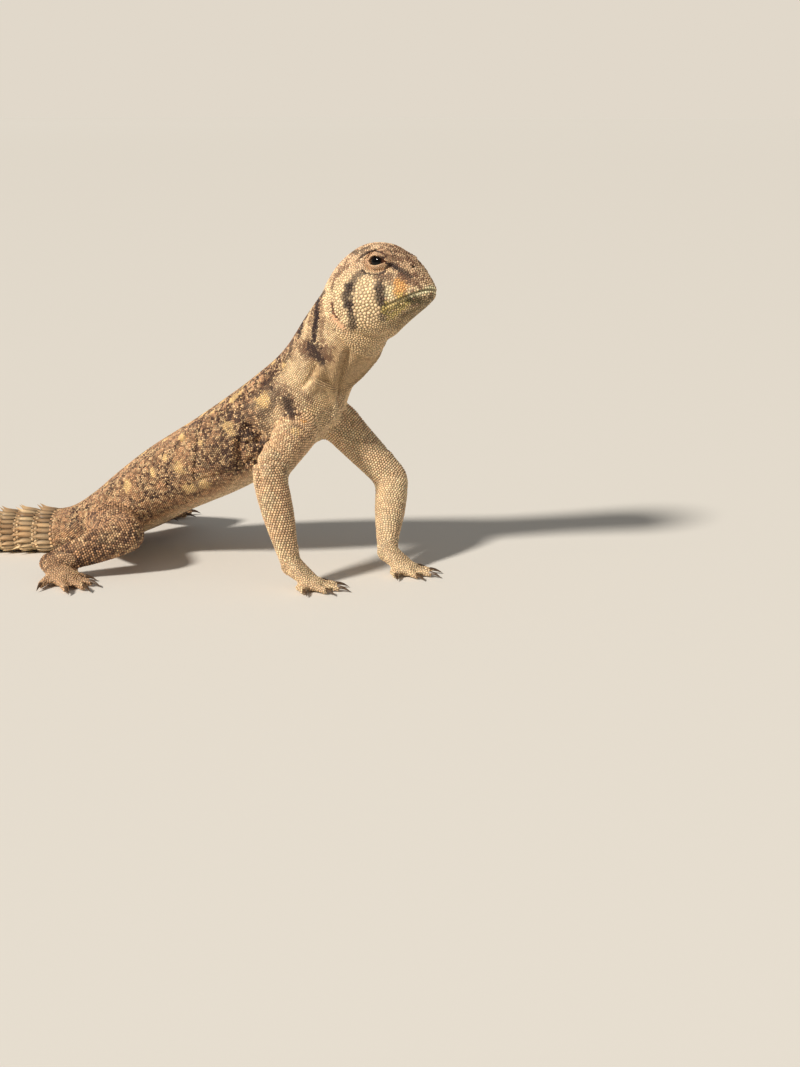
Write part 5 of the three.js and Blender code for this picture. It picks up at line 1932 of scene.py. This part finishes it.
def vary_group():
    """Colour in, the same colour out with soft blotches and fine grain."""
    group, given, made = new_group(
        "Vary colour",
        [("NodeSocketColor", "Color", (1, 1, 1, 1)), ("NodeSocketFloat", "Blotches", 0.12),
         ("NodeSocketFloat", "Grain", 0.1)],
        [("NodeSocketColor", "Color")],
    )
    place = add_node(group, "TexCoord", {}).outputs["Object"]
    value = 1.0
    for title, scale, detail in (("Blotches", 220, 3), ("Grain", 2600, 2)):
        texture = add_node(group, "TexNoise", {"Scale": scale, "Detail": detail, "Vector": place})
        around = add_node(group, "Math", {0: texture.outputs["Fac"], 1: 0.5}, operation="SUBTRACT")
        share = {0: around.outputs[0], 1: given.outputs[title], 2: value}
        value = add_node(group, "Math", share, operation="MULTIPLY_ADD").outputs[0]
    scaled = add_node(group, "VectorMath", {0: given.outputs["Color"], "Scale": value}, operation="SCALE")
    set_inputs(group, made, {"Color": scaled.outputs[0]})
    return group


def grain_group():
    """A fine horn relief as a normal."""
    group, given, made = new_group(
        "Horn grain",
        [("NodeSocketFloat", "Strength", 0.3), ("NodeSocketFloat", "Scale", 3500)],
        [("NodeSocketVector", "Normal")],
    )
    place = add_node(group, "TexCoord", {}).outputs["Object"]
    texture = add_node(group, "TexNoise", {"Scale": given.outputs["Scale"], "Detail": 3, "Vector": place})
    height, strength = texture.outputs["Fac"], given.outputs["Strength"]
    bump = add_node(group, "Bump", {"Distance": GRAIN_DEPTH, "Strength": strength, "Height": height})
    set_inputs(group, made, {"Normal": bump.outputs["Normal"]})
    return group


vary = vary_group()
grain = grain_group()
print("node groups:", vary.name, "and", grain.name)

# %% Materials
EYE_RINGS = (
    (0.0, (4, 3, 3)), (0.52, (8, 5, 4)), (0.62, (52, 28, 16)), (0.8, (96, 58, 38)), (0.95, (40, 24, 16)),
)


def new_material(name, colour, roughness):
    """A material whose shader takes the shared grain, with its colour still to be linked."""
    material = bpy.data.materials.new(name)
    material.use_nodes = True
    tree = material.node_tree
    relief = add_node(tree, "Group", {}, node_tree=grain).outputs["Normal"]
    shader = set_inputs(tree, tree.nodes["Principled BSDF"], {
        "Base Color": (*linear(colour), 1), "Roughness": roughness, "Normal": relief,
    })
    return material, tree, shader


def add_ramp(tree, value, stops):
    """A colour that runs through stops, each a place from 0 to 1 and a paint, as the value rises."""
    ramp = add_node(tree, "ValToRGB", {"Fac": value})
    elements = ramp.color_ramp.elements
    while len(elements) < len(stops):
        elements.new(0.5)
    for element, (place, colour) in zip(elements, stops):
        element.position = place
        element.color = (*linear(colour), 1)
    return ramp.outputs["Color"]


def link_varied(tree, shader, colour, blotches, fine):
    """Puts the shared variation between a colour and the shader."""
    given = {"Color": colour, "Blotches": blotches, "Grain": fine}
    varied = add_node(tree, "Group", given, node_tree=vary)
    set_inputs(tree, shader, {"Base Color": varied.outputs["Color"]})


def hide_material(name, roughness, rim, flesh):
    """Scales or skin that carry the markings. Where rim is below 1, each scale is painted darker towards its
    sunk rim, as painted shade.
    """
    material, tree, shader = new_material(name, PAINTS["flank"], roughness)
    colour = add_node(tree, "Attribute", {}, attribute_name="paint").outputs["Color"]
    # Painted shade: where the stored relief is low, at the sunk rim of a scale or plate, the colour darkens
    # down to the rim factor.
    if rim < 1:
        relief = add_node(tree, "Attribute", {}, attribute_name="relief").outputs["Fac"]
        ramp = {"Value": relief, "From Min": 0.1, "From Max": 0.7, "To Min": rim, "To Max": 1.0}
        shade = {0: colour, "Scale": add_node(tree, "MapRange", ramp).outputs["Result"]}
        colour = add_node(tree, "VectorMath", shade, operation="SCALE").outputs[0]
    link_varied(tree, shader, colour, 0.3, 0.35)
    set_inputs(tree, shader, {
        "Subsurface Weight": flesh, "Subsurface Radius": (1.0, 0.4, 0.2), "Subsurface Scale": 0.0006,
        "Specular IOR Level": 0.4,
    })
    return material


def horn_material():
    """Claws: dark horn with paler streaks."""
    material, tree, shader = new_material("claw_horn", (58, 40, 28), 0.32)
    place = add_node(tree, "TexCoord", {}).outputs["Object"]
    texture = add_node(tree, "TexNoise", {"Scale": 900, "Vector": place})
    horn = add_ramp(tree, texture.outputs["Fac"], ((0.0, (38, 26, 20)), (1.0, (104, 78, 52))))
    link_varied(tree, shader, horn, 0.2, 0.2)
    return material


def eye_material():
    """A black pupil in a brown iris with a darker edge, wet and glossy."""
    material, tree, shader = new_material("eye_wet", (20, 14, 10), 0.08)
    ring = add_node(tree, "Attribute", {}, attribute_name="eye_ring").outputs["Fac"]
    link_varied(tree, shader, add_ramp(tree, ring, EYE_RINGS), 0.2, 0.3)
    tree.links.remove(shader.inputs["Normal"].links[0])
    set_inputs(tree, shader, {"Specular IOR Level": 0.22})
    return material


skin.data.materials.append(hide_material("bare_hide", 0.62, 1.0, 0.2))
scale_hide = hide_material("scale_hide", 0.5, 0.2, 0.1)
for piece in coat:
    piece.data.materials.append(scale_hide)
tail_coat.data.materials.append(hide_material("tail_hide", 0.5, 0.28, 0.05))
claws.data.materials.append(horn_material())
wet = eye_material()
for ball in eyeballs.values():
    ball.data.materials.append(wet)
print("materials set")

# %% [markdown]
# The skin replaces every flesh node of the solids.

# %% Hand over to the frame
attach(skin, "root")
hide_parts(*FLESH)

# %% [markdown]
# The stage: a wide pale floor, and a warm key light from the upper left and behind the camera, as in the
# picture. It is a soft sun, so the floor is lit evenly to its far end. A weak cool fill comes from the right.
# What the camera sees behind the floor has the floor's own colour, and only a dim sky lights the animal.

# %% Floor and light
SKY = {"light": (0.223, 0.216, 0.204, 1), "seen": (0.752, 0.686, 0.591, 1)}
SUN = {"strength": 4.0, "angle": 8, "colour": (1.0, 0.94, 0.85)}
SUN_FROM = (-0.3, -0.68, 0.6)
FILL = {"strength": 0.25, "place": (0.7, -0.5, 0.3), "colour": (0.86, 0.93, 1.0), "size": 0.6}


def lamp(name, kind, energy, place, target, colour):
    """A lamp that looks at a target."""
    data = bpy.data.lights.new(name, kind)
    data.energy = energy
    data.color = colour
    made = bpy.data.objects.new(name, data)
    bpy.context.scene.collection.objects.link(made)
    made.location = place
    made.rotation_euler = (Vector(target) - made.location).to_track_quat("-Z", "Y").to_euler()
    return data


bpy.ops.mesh.primitive_plane_add(size=60.0, location=(0, 0, 0))
floor = bpy.context.active_object
floor.name = "floor"
stone = bpy.data.materials.new("pale_floor")
stone.use_nodes = True
ground = stone.node_tree
cloud = add_node(ground, "TexNoise", {"Scale": 3.0})
pale = add_ramp(ground, cloud.outputs["Fac"], ((0.0, (230, 226, 219)), (1.0, (237, 234, 228))))
set_inputs(ground, ground.nodes["Principled BSDF"], {"Roughness": 0.8, "Base Color": pale})
floor.data.materials.append(stone)

middle = (0.02, 0, 0.05)
lamp("key", "SUN", SUN["strength"], SUN_FROM, middle, SUN["colour"]).angle = math.radians(SUN["angle"])
lamp("fill", "AREA", FILL["strength"], FILL["place"], middle, FILL["colour"]).size = FILL["size"]
world = bpy.data.worlds.new("studio")
bpy.context.scene.world = world
world.use_nodes = True
sky = world.node_tree
by_camera = add_node(sky, "LightPath", {}).outputs["Is Camera Ray"]
tint = add_node(sky, "MixRGB", {"Fac": by_camera, "Color1": SKY["light"], "Color2": SKY["seen"]})
set_inputs(sky, sky.nodes["Background"], {"Color": tint.outputs["Color"]})
bpy.context.scene.view_settings.view_transform = "Standard"
